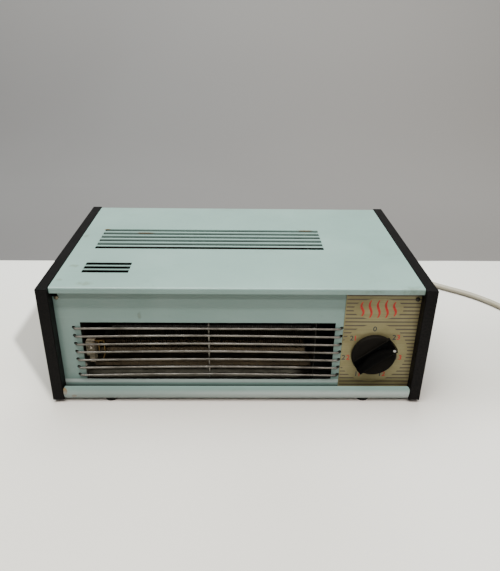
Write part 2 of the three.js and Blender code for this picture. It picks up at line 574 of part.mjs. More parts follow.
// Mains entry: the terminal block, the cord clamp and the leads to the switch and the motor.
const CLAMP = { front: 237, rear: 246 };
const terminals = block(EXIT.x - 16, 206, SHEET + GAP, EXIT.x + 16, 224, 18);
const terminalBore = (x) => pinY(2, 202, 228, 8).translate(x, 0, 11);
const terminal = cut(terminals, ...[-9, 0, 9].map((x) => terminalBore(EXIT.x + x)));
add("terminal_block", terminal, CREAM_PVC).position.set(0, depth(0), height(0));
const cordZ = EXIT.z - FLOOR;
const clampTop = cordZ + 8;
const clampBlank = block(EXIT.x - 12, CLAMP.front, SHEET + GAP, EXIT.x + 12, CLAMP.rear, clampTop);
const clampBore = pinY(GLAND.bore, CLAMP.front - 1, CLAMP.rear + 1, 16).translate(EXIT.x, 0, cordZ);
add("cord_clamp", cut(clampBlank, clampBore), BAKELITE).position.set(0, depth(0), height(0));
const leads = [
  ["lead_live", BROWN_PVC, [
    [151, 205, 11], [151, 197, 11], [156, 184, 12], [166, 160, 14],
    [172, 120, 20], [168, 80, 34], [160, 62, 44], [156, 58.6, 48],
  ]],
  ["lead_neutral", BLUE_PVC, [
    [160, 205, 11], [160, 202, 15], [156, 200.5, 30],
    [146, 199.5, 48], [136, 199, 58], [127, 198.4, 62],
  ]],
];
const LEAD_RADIUS = 1.3;
for (const [name, look, points] of leads) {
  const places = points.map(([x, y, z]) => new THREE.Vector3(x, depth(y), height(z)));
  const route = new THREE.CatmullRomCurve3(places).getPoints(4 * (points.length - 1));
  add(name, tube(route.map((point) => point.toArray()), LEAD_RADIUS, 6), look);
}

// ---------------------------------------------------------------- the cord and what is on it

// Gland: a tapered sleeve with a groove that grips the rear panel.
const glandOut = REAR_FACE + GAP;
const glandIn = REAR_FACE - SHEET - GAP;
const glandProfile = [
  [GLAND.bore, -glandIn + 3.5], [GLAND.flange, -glandIn + 3.5], [GLAND.flange, -glandIn],
  [GLAND.neck, -glandIn], [GLAND.neck, -glandOut], [GLAND.flange, -glandOut],
  [GLAND.flange - 1, -glandOut - 5], [GLAND.neck + 0.6, -glandOut - 7],
  [GLAND.tip, -glandOut - GLAND.length],
  [GLAND.bore, -glandOut - GLAND.length], [GLAND.bore, -glandIn + 3.5],
].reverse();
const gland = add("cord_gland", turnedFront(glandProfile, 16), CREAM_PVC);
gland.position.set(EXIT.x, depth(0), EXIT.z);

// The cord's route: out of the rear, down to the floor and round the right rear corner.
const routeOnFloor = (x, y) => [x, y, CORD_REST];
const cordRoute = [
  [160, 108, 24], [160, 129, 24], [160, 150, 24], [160, 170, 24], [160.3, 181, 22.9],
  [161.5, 192, 19.4], [164.5, 203, 14], [170, 213, 8.8], [178.5, 221, 5.6], [190, 226.5, 4.4],
  routeOnFloor(204, 228.5), routeOnFloor(220, 227.5), routeOnFloor(236, 223.5), routeOnFloor(252, 216),
  routeOnFloor(268, 206), routeOnFloor(284, 193.5), routeOnFloor(300, 179.5), routeOnFloor(317, 164),
  routeOnFloor(331, 153.5), routeOnFloor(345, 143.5), routeOnFloor(357, 134), routeOnFloor(368, 123.5),
  routeOnFloor(379.5, 110), routeOnFloor(389.5, 95.5), routeOnFloor(398, 81), routeOnFloor(406.5, 67),
];
const cordPoints = cordRoute.map((point) => new THREE.Vector3(...point));
const cordCurve = new THREE.CatmullRomCurve3(cordPoints, false, "centripetal");
const cordLine = cordCurve.getPoints(2 * (cordRoute.length - 1)).map((point) => point.toArray());
add("mains_cord", tube(cordLine, CORD_RADIUS, 8), CREAM_PVC);

// The coil that holds the rest of the cord, as a ring of its outer shape: the bundle of its turns.
const BUNDLE_SIDES = 10;
const bundleCorner = (k) => {
  const angle = (-2 * Math.PI * k) / BUNDLE_SIDES;
  return [COIL.radius + COIL.bundle * Math.cos(angle), COIL.bundle * Math.sin(angle)];
};
const bundle = Array.from({ length: BUNDLE_SIDES + 1 }, (_, k) => bundleCorner(k % BUNDLE_SIDES));
add("cord_coil", turned(bundle.reverse(), 30), CREAM_PVC).position.set(COIL.x, COIL.y, COIL.z);

// The tie: a band round the coil's turns.
const TIE = { inner: COIL.bundle + GAP + 0.1, thick: 0.7, wide: 6 };
const tieOuter = TIE.inner + TIE.thick;
const tieProfile = [
  [TIE.inner, -TIE.wide / 2], [tieOuter, -TIE.wide / 2], [tieOuter, TIE.wide / 2],
  [TIE.inner, TIE.wide / 2], [TIE.inner, -TIE.wide / 2],
];
const tie = add("cord_tie", turned(tieProfile, 20).rotateX(Math.PI / 2), BLACK_PLASTIC);
tie.rotation.z = radians(COIL.tie);
tie.position.set(
  COIL.x + COIL.radius * Math.cos(radians(COIL.tie)),
  COIL.y + COIL.radius * Math.sin(radians(COIL.tie)),
  COIL.z,
);

// Plug: a flat body with three round pins. Inside this group +X points along the pins and the
// origin is below the point where the cord leaves the coil, on the right, straight back.
const PLUG = { line: 55.7, start: 34, sleeve: 26, body: 38, wide: 35, thick: 15, z: 7.8 };
const PLUG_PIN = { radius: 2, length: 19, spacing: 19, earth: 4, socket: 6 };
const plug = new THREE.Group();
plug.position.set(COIL.x + PLUG.line, COIL.y, 0);
plug.rotation.z = Math.PI / 2;
heater.add(plug);
const bodyStart = PLUG.start + PLUG.sleeve;
const bodyEnd = bodyStart + PLUG.body;
const half = PLUG.wide / 2;
const plugOutline = shapeOf([
  [bodyStart - 3, -7], [bodyStart + 14, -half], [bodyEnd, -half], [bodyEnd, half], [bodyStart + 14, half],
  [bodyStart - 3, 7],
]);
const plugLow = PLUG.z - PLUG.thick / 2;
const plugShell = alongZ(plugOutline, plugLow, plugLow + PLUG.thick, 2);
const sleeve = turnedX([
  [0, PLUG.start], [5.4, PLUG.start], [6.8, bodyStart], [6.8, bodyStart + 6], [0, bodyStart + 6],
], 12).translate(0, 0, PLUG.z);
const entry = pinX(CORD_RADIUS + GAP, PLUG.start - 1, PLUG.start + 20, 10).translate(0, 0, PLUG.z);
const pinPlaces = [
  ["plug_pin_live", -PLUG_PIN.spacing / 2, 0],
  ["plug_pin_neutral", PLUG_PIN.spacing / 2, 0],
  ["plug_pin_earth", 0, PLUG_PIN.earth],
];
const pinStart = bodyEnd - PLUG_PIN.socket;
const pinEnd = bodyEnd + PLUG_PIN.length;
const socket = ([, y, z]) =>
  pinX(PLUG_PIN.radius + GAP, pinStart, bodyEnd + 1, 10).translate(0, y, PLUG.z + z);
add("plug_body", cut(join(plugShell, sleeve), entry, ...pinPlaces.map(socket)), CREAM_PVC, plug);
for (const [name, y, z] of pinPlaces) {
  const contact = turnedX([
    [0, pinStart + GAP], [PLUG_PIN.radius, pinStart + GAP],
    [PLUG_PIN.radius, pinEnd - 1], [PLUG_PIN.radius - 0.8, pinEnd], [0, pinEnd],
  ], 10);
  add(name, contact.translate(0, y, PLUG.z + z), NICKEL, plug);
}

export default heater;
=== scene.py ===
"""The looks of a fan convector heater: fine meshes, procedural materials, studio light and camera.

Lengths are written in millimetres in the model's own frame (+Z up, the front faces -Y, +X to the
right of someone facing the front) and turned into metres where a mesh is made. In the materials,
coordinates are in metres, scales are in features a metre and colours are 0-255 display values.
"""

import json
import random
from math import cos, pi, radians, sin, sqrt, tan
from types import SimpleNamespace as Sizes

import bmesh
import bpy
from mathutils import Matrix, Vector


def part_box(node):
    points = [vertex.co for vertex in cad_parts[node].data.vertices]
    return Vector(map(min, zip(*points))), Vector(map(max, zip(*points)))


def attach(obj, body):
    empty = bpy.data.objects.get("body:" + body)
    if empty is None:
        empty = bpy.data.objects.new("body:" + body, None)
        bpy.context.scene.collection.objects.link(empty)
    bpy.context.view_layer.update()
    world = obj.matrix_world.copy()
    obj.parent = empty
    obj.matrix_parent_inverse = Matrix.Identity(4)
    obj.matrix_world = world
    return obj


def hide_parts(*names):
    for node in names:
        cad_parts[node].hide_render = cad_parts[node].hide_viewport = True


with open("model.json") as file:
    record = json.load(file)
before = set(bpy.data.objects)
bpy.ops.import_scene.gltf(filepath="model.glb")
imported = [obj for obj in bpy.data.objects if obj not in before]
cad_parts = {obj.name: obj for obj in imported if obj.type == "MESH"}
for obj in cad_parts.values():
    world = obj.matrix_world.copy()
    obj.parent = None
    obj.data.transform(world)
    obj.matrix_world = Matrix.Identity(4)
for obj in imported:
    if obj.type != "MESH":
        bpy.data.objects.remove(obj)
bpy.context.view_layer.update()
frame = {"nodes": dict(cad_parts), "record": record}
MM = 0.001

# ---- measures from the frame


def span(node):
    """The lowest and highest corner of a CAD node, in millimetres."""
    low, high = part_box(node)
    return low / MM, high / MM


SIDE_LOW, SIDE_HIGH = span("side_panel_right")
FRONT, FLOOR, TOP = SIDE_LOW.y, SIDE_LOW.z, SIDE_HIGH.z
INNER = span("top_cover")[1].x


def depth(y):
    """Y of a place that far behind the side panels' front edge."""
    return FRONT + y


def height(z):
    """Z of a place that far above the side panels' lower edge."""
    return FLOOR + z


SHEET = 1.2
COVER_FRONT, COVER_REAR, COVER_LIP, COVER_REAR_LIP = 4, 256.5, 6.5, 14
PANEL_FRONT = 12
WINDOW = Sizes(left=-167.5, right=104.5, low=20, high=93)
LONG_SLOT = Sizes(left=-168.5, right=101.5, first=110.2, pitch=11.35, count=6, width=7)
SHORT_SLOT = Sizes(left=-168, right=-118, first=43.5, pitch=10, count=3, width=6.5)
WIRE = Sizes(radius=1.4, depth=10.2, left=-174.5, right=111, low=26.5, pitch=10, count=7)
STAY = Sizes(x=-31.5, radius=1, depth=12.9, back=15.9, low=22, high=91.5)
WIRE_HOLE = 1.95
WIRE_BOWS = (2.3, 2.0, 2.0, 1.7, 1.5, 1.6, 0.7)  # how far each wire bows up in its middle
PLATE = Sizes(left=113, low=8, high=134.5, front=10.9, thick=0.8)
DIAL = Sizes(x=148.4, z=55.6, positions=7, set=1, hole=5)
SCREW = Sizes(x=188, z=123, hole=1.8)
BEAD = Sizes(front=0.4, deep=5, half=9.8, start=53)  # an upright half ellipse cut off at its top
FOOT = Sizes(x=142, front=10.5, rear=236, hole=3)

CORD_RADIUS = 4.25
EXIT = (160, 129, 24)
COIL = Sizes(x=476, y=74, radius=50, start=250, end=360, laps=3, tie=100)
BUNDLE = CORD_RADIUS * sqrt(2)  # how far the turns lie from the bundle's middle

# ---- mesh helpers


def maker(function):
    """Turns a function that adds to a bmesh into one that returns how to, for `to_object`."""
    return lambda *values, **settings: lambda bm: function(bm, *values, **settings)


def linked(name, data):
    """A new object in the scene."""
    obj = bpy.data.objects.new(name, data)
    bpy.context.scene.collection.objects.link(obj)
    return obj


def to_object(name, material, *makers, smooth=40):
    """A Blender object in metres from what the makers add in millimetres."""
    bm = bmesh.new()
    for make in makers:
        make(bm)
    bmesh.ops.remove_doubles(bm, verts=bm.verts, dist=1e-4)
    bmesh.ops.recalc_face_normals(bm, faces=bm.faces)
    bmesh.ops.scale(bm, vec=(MM, MM, MM), verts=bm.verts)
    mesh = bpy.data.meshes.new(name)
    bm.to_mesh(mesh)
    bm.free()
    mesh.materials.append(MATERIALS[material])
    if smooth:
        mesh.shade_smooth()
        mesh.set_sharp_from_angle(angle=radians(smooth))
    return linked(name, mesh)


def modified(obj, kind, **settings):
    """Adds a modifier and bakes it into the object's mesh."""
    modifier = obj.modifiers.new(kind, kind)
    for name, value in settings.items():
        setattr(modifier, name, value)
    bpy.context.view_layer.update()
    evaluated = obj.evaluated_get(bpy.context.evaluated_depsgraph_get())
    mesh, old = bpy.data.meshes.new_from_object(evaluated), obj.data
    obj.modifiers.clear()
    obj.data = mesh
    bpy.data.meshes.remove(old)
    return obj


def bevelled(obj, width, segments=2, angle=35):
    """Rounds the sharp edges of an object, in millimetres."""
    return modified(
        obj, "BEVEL", width=width * MM, segments=segments, limit_method="ANGLE",
        angle_limit=radians(angle), harden_normals=True,
    )


def combined(obj, other, operation):
    """Takes the other object's volume out of an object, or adds it, and deletes the other."""
    modified(obj, "BOOLEAN", operation=operation, solver="EXACT", object=other)
    bpy.data.objects.remove(other)
    return obj


def cut(obj, *makers, operation="DIFFERENCE"):
    return combined(obj, to_object("cutter", "painted_steel", *makers, smooth=0), operation)


def finished(obj, slot, *nodes, body="case"):
    """The piece rides on a body and stands for CAD nodes; its slot is not used."""
    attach(obj, body)
    if nodes:
        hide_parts(*nodes)
    return obj


def piece(name, slot, *makers, joined=(), cuts=(), bevel=None, material=None, smooth=40):
    """A finished piece of the case; with the name of a CAD node it's the fine version of that node."""
    nodes = [name] if name in frame["nodes"] else []
    obj = to_object(name + "_fine" * len(nodes), material or slot, *makers, smooth=smooth)
    if joined:
        cut(obj, *joined, operation="UNION")
    if cuts:
        cut(obj, *cuts)
    if bevel:
        bevelled(obj, *bevel)
    return finished(obj, slot, *nodes)


def turned(degrees, axis):
    return Matrix.Rotation(radians(degrees), 4, axis)


def arc(centre, radius, start, end, steps):
    """Points of an arc in a plane, with angles in degrees."""
    angles = [radians(start + (end - start) * i / steps) for i in range(steps + 1)]
    return [(centre[0] + radius * cos(a), centre[1] + radius * sin(a)) for a in angles]


def circle(sides):
    """The cosine and sine of each corner of an even polygon."""
    angles = [2 * pi * k / sides for k in range(sides)]
    return [(cos(a), sin(a)) for a in angles]


def rounded_line(points, radius, steps=6):
    """A line in a plane with its corners rounded."""
    result = [Vector(points[0])]
    for before, corner, after in zip(points, points[1:], points[2:]):
        corner = Vector(corner)
        back = (Vector(before) - corner).normalized()
        ahead = (Vector(after) - corner).normalized()
        half = back.angle(ahead) / 2
        centre = corner + (back + ahead).normalized() * radius / sin(half)
        start = corner + back * radius / tan(half) - centre
        sweep = start.angle_signed(corner + ahead * radius / tan(half) - centre)
        result += [centre + Matrix.Rotation(-sweep * i / steps, 2) @ start for i in range(steps + 1)]
    result.append(Vector(points[-1]))
    return result


def offset_line(line, thick):
    """The line moved sideways by `thick`, to its left."""
    moved = []
    for i, point in enumerate(line):
        before = (point - line[i - 1]).normalized() if i > 0 else None
        after = (line[i + 1] - point).normalized() if i < len(line) - 1 else None
        first, second = before or after, after or before
        left = Vector((-first.y - second.y, first.x + second.x)).normalized()
        moved.append(point + left * thick / left.dot(Vector((-first.y, first.x))))
    return moved


def join_rings(bm, rings):
    """Adds the faces between rings of vertices; a ring of one vertex is a pole."""
    for one, two in zip(rings, rings[1:]):
        a, b = len(one), len(two)
        for k in range(max(a, b)):
            corners = (one[k % a], one[(k + 1) % a], two[(k + 1) % b], two[k % b])
            corners = list(dict.fromkeys(corners))
            if len(corners) > 2:
                bm.faces.new(corners)


@maker
def prism(bm, outline, start, end, axis="X"):
    """Adds an outline run along an axis: (y, z) along X, (x, z) along Y or (x, y) along Z."""
    place = {
        "X": lambda p, t: (t, p[0], p[1]),
        "Y": lambda p, t: (p[0], t, p[1]),
        "Z": lambda p, t: (p[0], p[1], t),
    }[axis]
    rings = [[bm.verts.new(place(p, t)) for p in outline] for t in (start, end)]
    bm.faces.new(rings[0])
    bm.faces.new(rings[1])
    join_rings(bm, rings)


@maker
def folded_sheet(bm, points, bend, thick=SHEET):
    """Adds a folded sheet between the side panels: the line is its outer face, the sheet on its left."""
    line = rounded_line(points, bend)
    prism(line + offset_line(line, thick)[::-1], -INNER, INNER)(bm)


@maker
def sweep(bm, line, radius, sides=16):
    """Adds a round rod along a line of points."""
    line = [Vector(p) for p in line]
    last = len(line) - 1
    tangents = [(line[min(i + 1, last)] - line[max(i - 1, 0)]).normalized() for i in range(last + 1)]
    normal = tangents[0].orthogonal().normalized()
    rings = []
    for point, tangent in zip(line, tangents):
        normal = (normal - tangent * normal.dot(tangent)).normalized()
        side = tangent.cross(normal)
        rings.append([bm.verts.new(point + (normal * c + side * s) * radius) for c, s in circle(sides)])
    join_rings(bm, rings)
    bm.faces.new(rings[0][::-1])
    bm.faces.new(rings[-1])


@maker
def lathe(bm, profile, sides=48, origin=(0, 0, 0), axis=(0, 0, 1)):
    """Adds a turned body: the profile's points are (radius, height) up the axis, pole to pole."""
    turn = Vector((0, 0, 1)).rotation_difference(Vector(axis)).to_matrix()
    rings = []
    for radius, rise in profile:
        spots = [Vector((radius * c, radius * s, rise)) for c, s in circle(sides if radius else 1)]
        rings.append([bm.verts.new(Vector(origin) + turn @ spot) for spot in spots])
    join_rings(bm, rings)


def rod(x, z, radius, start, end):
    """A rod along Y."""
    profile = [(0, 0), (radius, 0), (radius, end - start), (0, end - start)]
    return lathe(profile, 24, (x, start, z), (0, 1, 0))


@maker
def block(bm, low, high, place=Matrix()):
    """Adds a box from its lowest to its highest corner, moved by a matrix."""
    low, high = Vector(low), Vector(high)
    verts = bmesh.ops.create_cube(bm, size=1)["verts"]
    bmesh.ops.scale(bm, vec=high - low, verts=verts)
    bmesh.ops.translate(bm, vec=(low + high) / 2, verts=verts)
    bmesh.ops.transform(bm, matrix=place, verts=verts)


# ---- material helpers

MATERIALS = {}  # by the record's slot name


def srgb(*values):
    """A linear colour from 0-255 display values."""
    shares = [value / 255 for value in values]
    return (*(s / 12.92 if s <= 0.04045 else ((s + 0.055) / 1.055) ** 2.4 for s in shares), 1)


class Nodes:
    """A material's node tree, with short calls for what the materials here use."""

    def __init__(self, name, base, roughness=0.5, metallic=0.0, specular=0.5, coat=0.0, coat_roughness=0.2):
        self.colour = base
        MATERIALS[name] = bpy.data.materials.new(name)
        MATERIALS[name].use_nodes = True
        self.tree = MATERIALS[name].node_tree
        self.link = self.tree.links.new
        self.shader = self.tree.nodes["Principled BSDF"]
        values = {
            "Roughness": roughness, "Metallic": metallic, "Specular IOR Level": specular,
            "Coat Weight": coat, "Coat Roughness": coat_roughness,
        }
        for socket, value in values.items():
            self.shader.inputs[socket].default_value = value
        self.place = self.add("TexCoord").outputs["Object"]
        axes = self.add("SeparateXYZ")
        self.link(self.place, axes.inputs[0])
        self.x, self.y, self.z = axes.outputs

    def add(self, kind, **settings):
        node = self.tree.nodes.new("ShaderNode" + kind)
        for name, value in settings.items():
            setattr(node, name, value)
        return node

    def put(self, socket, value):
        """Links an output to a socket, or sets the socket's own value; a tuple is a display colour."""
        if isinstance(value, bpy.types.NodeSocket):
            self.link(value, socket)
        else:
            socket.default_value = srgb(*value) if isinstance(value, tuple) else value

    def noise(self, scale, detail=4, rough=0.5, stretch=(1, 1, 1)):
        """Noise from 0 to 1."""
        mapping = self.add("Mapping")
        mapping.inputs["Scale"].default_value = stretch
        self.link(self.place, mapping.inputs["Vector"])
        node = self.add("TexNoise")
        for socket, value in (("Scale", scale), ("Detail", detail), ("Roughness", rough)):
            node.inputs[socket].default_value = value
        self.link(mapping.outputs["Vector"], node.inputs["Vector"])
        return node.outputs["Fac"]

    def ramp(self, value, low, high, start=0.0, end=1.0):
        """Value mapped from low..high to start..end, clamped; a tuple stands for a noise."""
        node = self.add("MapRange", clamp=True, interpolation_type="SMOOTHSTEP")
        self.link(self.noise(*value) if isinstance(value, tuple) else value, node.inputs["Value"])
        for name, number in (("From Min", low), ("From Max", high), ("To Min", start), ("To Max", end)):
            node.inputs[name].default_value = number
        return node.outputs["Result"]

    def maths(self, operation, first, second):
        node = self.add("Math", operation=operation)
        self.put(node.inputs[0], first)
        self.put(node.inputs[1], second)
        return node.outputs[0]

    def times(self, result, *factors):
        """The product of the values."""
        for factor in factors:
            result = self.maths("MULTIPLY", result, factor)
        return result

    def mix(self, factor, first, second):
        node = self.add("Mix", data_type="RGBA")
        for socket, value in (("Factor", factor), (6, first), (7, second)):
            self.put(node.inputs[socket], value)
        return node.outputs[2]

    def layer(self, colour, *factors):
        """Lays a colour over the material's colour, as far as the factors' product goes."""
        self.colour = self.mix(self.times(*factors), self.colour, colour)

    def near(self, point, radius, soft, stretch=(1, 1, 1)):
        """One close to a point in millimetres, falling to nothing at the radius."""
        result = self.place
        for operation, operand in (("SUBTRACT", Vector(point) * MM), ("MULTIPLY", stretch)):
            node = self.add("VectorMath", operation=operation)
            self.link(result, node.inputs[0])
            node.inputs[1].default_value = operand
            result = node.outputs[0]
        length = self.add("VectorMath", operation="LENGTH")
        self.link(result, length.inputs[0])
        return self.ramp(length.outputs["Value"], radius * MM * soft, radius * MM, 1, 0)

    def within(self, low, high, soft=0.1):
        """One inside a box given by two corners in millimetres, nothing outside it."""
        result = 1.0
        for place, first, last in zip((self.x, self.y, self.z), low, high):
            for edge, start in ((first, 0), (last, 1)):
                side = self.ramp(place, (edge - soft) * MM, (edge + soft) * MM, start, 1 - start)
                result = self.times(side, result)
        return result

    def finish(self, rough=None, bump=None, strength=0.2, distance=0.1):
        """Connects the colour, the roughness and the bump, whose distance is in millimetres."""
        self.put(self.shader.inputs["Base Color"], self.colour)
        if rough:
            self.link(rough, self.shader.inputs["Roughness"])
        if bump:
            node = self.add("Bump")
            for socket, value in (("Strength", strength), ("Distance", distance * MM), ("Height", bump)):
                self.put(node.inputs[socket], value)
            self.link(node.outputs[0], self.shader.inputs["Normal"])


# ---- materials

PAINT, PAINT_PALE, PAINT_DIRTY = (141, 173, 163), (147, 179, 169), (124, 147, 132)
# the first colour darkens as painted shade, the second lightens as painted light
PAINTED_SHADE_TONE, PAINTED_LIGHT_TONE = (26, 27, 24), (222, 240, 232)
# the first colour is painted shade for the case's left part
LEFT_PAINTED_SHADE, GRIME, STAIN = (44, 14, 20), (120, 112, 92), (88, 92, 58)
RUST, RUST_DARK = (146, 124, 82), (116, 86, 50)
RUST_SPOTS = [  # place, radius and how much narrower each way
    ((-191, depth(1.4), 15), 6.5, (1.2, 1, 0.8)),
    ((-181, depth(1), 8.5), 4, (0.8, 1, 1)),
    ((-166, depth(169), TOP), 3.4, (0.5, 1, 1)),
    ((-117, depth(158), TOP), 3, (0.12, 1, 1)),
    ((86, depth(169.5), TOP), 2.8, (0.14, 1, 1)),
    ((100, depth(168), TOP), 2.4, (0.7, 1, 1)),
    ((194, depth(1), 138), 3.4, (0.4, 1, 1)),
]
STAIN_SPOTS = [
    ((188, depth(3), 137), 16, (0.45, 1, 1.2)),
    ((140, depth(0), 138), 9, (0.3, 1, 2)),
    ((-104.3, depth(12), 105), 6, (1.4, 1, 0.8)),
    ((-180, -69, TOP), 7, (0.8, 1, 1)),
    ((-157, -82, TOP), 6, (0.7, 1, 1)),
    ((-158, -112, TOP), 8, (0.6, 1, 1)),
    ((-186, -104, TOP), 6, (1, 1, 1)),
    ((-188, 20, TOP), 5, (1, 0.6, 1)),
    ((-109, -126, TOP), 4, (1, 1, 1)),
    ((-87, -117, TOP), 1.8, (1, 1, 1)),
]
SLOT_DARKENING = [  # a row, where the darkening of its bars starts and ends, its blur and strength, where painted shade on its walls ends
    (LONG_SLOT, 4, 5 * LONG_SLOT.pitch, 2, 0.2, 4.5),
    (SHORT_SLOT, 0, 2 * SHORT_SLOT.pitch, 1, 0.3, 25),
]
WIDE = 400  # more than the case's half width


def paint_material(name):
    """Stoved paint: faint mottling, specks and stains, rust where the paint is worn through, and painted
    light and shade.
    """
    n = Nodes(name, PAINT, roughness=0.36, specular=0.45, coat=0.25, coat_roughness=0.14)
    x, y, z = n.x, n.y, n.z
    n.layer(PAINT_PALE, n.ramp((9, 3), 0.35, 0.65))
    n.layer(PAINT_DIRTY, n.ramp((26, 6, 0.7, (1, 1, 1.6)), 0.55, 0.75, 0, 0.35))
    # painted shade: darker over the case's left part and towards its front
    n.layer(LEFT_PAINTED_SHADE, n.ramp(x, -0.16, -0.03, 0.15, 0.03), n.ramp(y, -0.02, 0.12, 1, 0.25))
    n.layer(GRIME, n.ramp((420, 2, 0.4), 0.74, 0.8, 0, 0.55), n.ramp((30, 2), 0.5, 0.6))
    n.layer(PAINT_PALE, n.ramp((60, 3, 0.6, (0.25, 4, 4)), 0.68, 0.74, 0, 0.25))
    patchy = n.noise(180, 5, 0.7)
    for point, radius, stretch in STAIN_SPOTS:
        spot = n.near(point, radius, 0.1, stretch)
        level = n.ramp(n.maths("ADD", n.times(spot, 0.35), patchy), 0.5, 0.95, 0, 0.4)
        n.layer(STAIN, level, n.ramp(spot, 0, 0.5))
    rust = n.mix(n.ramp(patchy, 0.35, 0.6), RUST, RUST_DARK)
    for point, radius, stretch in RUST_SPOTS:
        spot = n.near(point, radius, 0.2, stretch)
        level = n.ramp(n.maths("ADD", spot, n.times(patchy, 0.7)), 0.75, 1.05)
        n.layer(rust, level, n.ramp(spot, 0, 0.25))
    # painted light: the bead's lower half paler, most at the right, for light the table throws back onto it
    bead = n.ramp(y, depth(9) * MM, depth(9.5) * MM, 1, 0)
    n.layer(PAINTED_LIGHT_TONE, bead, n.ramp(z, 0.0118, 0.018, 1, 0), n.ramp(x, -0.16, 0.08, 0.35, 1))
    # painted light and painted shade on the front panel's lower band: paler just below the window, dark at
    # its bottom in the gap behind the bead
    skirt = n.within((-WIDE, depth(11.5), 10), (WIDE, depth(12.5), 24))
    n.layer(PAINTED_LIGHT_TONE, skirt, n.ramp(z, 0.018, 0.021, 0, 0.8))
    n.layer(PAINTED_SHADE_TONE, skirt, n.ramp(z, 0.015, 0.0185, 0.7, 0))
    # painted shade: the case's inside is dark, and so are the walls of the front long slot and of the short
    # slots
    inside = n.within((-WIDE, depth(12.6), FLOOR + 0.5), (WIDE, depth(254.5), TOP - 1.8))
    for slot, start, end, blur, strength, wall in SLOT_DARKENING:
        left, right, first = slot.left, slot.right, slot.first
        # the bars over each row of slots are darkened with the same tone
        bars = n.within((left, depth(first + start), TOP - 1), (right, depth(first + end), TOP + 1), blur)
        n.layer(PAINTED_SHADE_TONE, bars, strength)
        walls = n.within((left - 1, depth(first - 5), TOP - 3), (right + 1, depth(first + wall), TOP - 0.35))
        inside = n.maths("MAXIMUM", inside, walls)
    n.layer(PAINTED_SHADE_TONE, inside)
    texture = n.maths("ADD", n.times(n.noise(900, 2), 0.5), n.noise(120, 2))
    n.finish(n.ramp((40, 4), 0.3, 0.7, 0.3, 0.46), texture, 0.1, 0.15)


def plastic_material(
    name, base, pale, roughness=0.5, grain=1400, grain_depth=0.03, specular=0.4, pitted=0.3, dark=None
):
    """Moulded plastic with a fine grain and faint handling marks."""
    n = Nodes(name, base, roughness=roughness, specular=specular)
    n.layer(pale, n.ramp((14, 4), 0.4, 0.7))
    n.layer(pale, n.ramp((600, 3), 0.68, 0.78, 0, 0.5), n.ramp((20, 2), 0.45, 0.6))
    n.layer(dark or base, n.ramp((grain * 0.5, 2), 0.4, 0.62, 0, pitted))
    rough = n.ramp((30, 5, 0.6), 0.3, 0.7, roughness - 0.03, roughness + 0.05)
    n.finish(rough, n.noise(grain, 2), 0.3, grain_depth)


def metal_material(name, base, dark, roughness=0.35, stretch=(1, 1, 1), scale=220):
    """Plated or bare metal with tarnish and a brushed or cloudy surface."""
    n = Nodes(name, base, roughness=roughness, metallic=1.0)
    fine = n.noise(scale, 3, 0.6, stretch)
    n.layer(dark, n.ramp((38, 5, 0.65), 0.4, 0.72))
    n.layer(dark, n.ramp(fine, 0.3, 0.8, 0, 0.3))
    n.finish(n.ramp(fine, 0.25, 0.75, roughness - 0.08, roughness + 0.16), fine, 0.15, 0.04)


def grain_material(name, base, dark, roughness, scale):
    """Rubber and ceramic: a mottled, slightly pitted surface."""
    n = Nodes(name, base, roughness=roughness, specular=0.3)
    n.layer(dark, n.ramp((scale, 5, 0.6), 0.3, 0.7))
    n.layer(dark, n.ramp((35, 3), 0.5, 0.75, 0, 0.5))
    rough = n.ramp((scale * 2, 3), 0.3, 0.7, roughness - 0.08, roughness + 0.08)
    n.finish(rough, n.noise(scale * 3, 3), 0.35, 0.08)


def print_material(name, base, dark):
    """Screen-printed ink, a little worn."""
    n = Nodes(name, base, roughness=0.5, specular=0.35)
    n.layer(dark, n.ramp((500, 3), 0.35, 0.7))
    n.finish(n.ramp((260, 2), 0.3, 0.7, 0.42, 0.6))


def duct_material(name):
    """Galvanised sheet: clean and grey low down, darker higher up and further back, with painted shade
    towards its right end.
    """
    n = Nodes(name, (112, 112, 98), roughness=0.5, metallic=0.15, specular=0.2)
    tarnish = n.ramp((38, 5, 0.65), 0.4, 0.72)
    fine = n.noise(220, 3, 0.6, (0.3, 3, 3))
    # darker higher up and further back; painted shade towards the right end
    darkening_and_painted_shade = n.maths("MAXIMUM", n.ramp(n.z, 0.03, 0.046), n.ramp(n.x, 0.06, 0.074))
    darkening_and_painted_shade = n.maths("MAXIMUM", darkening_and_painted_shade, n.ramp(n.y, -0.08, -0.055))
    n.layer((86, 85, 72), tarnish)
    n.layer(n.mix(tarnish, (42, 39, 33), (28, 26, 22)), darkening_and_painted_shade)
    # painted shade: the right end very dark
    n.layer((12, 11, 10), n.ramp(n.x, 0.07, 0.076))
    n.layer((70, 67, 58), n.ramp(fine, 0.3, 0.8, 0, 0.3))
    n.finish(n.ramp(fine, 0.25, 0.75, 0.42, 0.66), fine, 0.15, 0.04)


def mica_material(name):
    """Layered mica board, browned by the heat and darker near the top of the duct."""
    n = Nodes(name, (96, 84, 62), roughness=0.6, specular=0.3)
    mottle = n.ramp((90, 5, 0.6, (0.3, 1, 3)), 0.3, 0.7)
    n.layer((62, 53, 39), mottle)
    n.layer(n.mix(mottle, (26, 23, 18), (16, 14, 11)), n.ramp(n.z, 0.057, 0.07))
    n.finish(n.ramp((180, 3), 0.3, 0.7, 0.52, 0.68), n.noise(270, 3), 0.35, 0.08)


def knob_material(name):
    """Glossy black plastic, dusty on the disc and polished by fingers on the grip."""
    n = Nodes(name, (23, 22, 19), roughness=0.34, specular=0.025)
    n.layer((31, 29, 25), n.ramp((24, 4), 0.35, 0.7))
    n.layer((2, 2, 2), n.ramp(n.y, depth(PANEL_FRONT - 8.4) * MM, depth(PANEL_FRONT - 7.4) * MM, 1, 0))
    n.finish(n.ramp((30, 5, 0.6), 0.3, 0.7, 0.28, 0.42), n.noise(2200, 2), 0.3, 0.015)


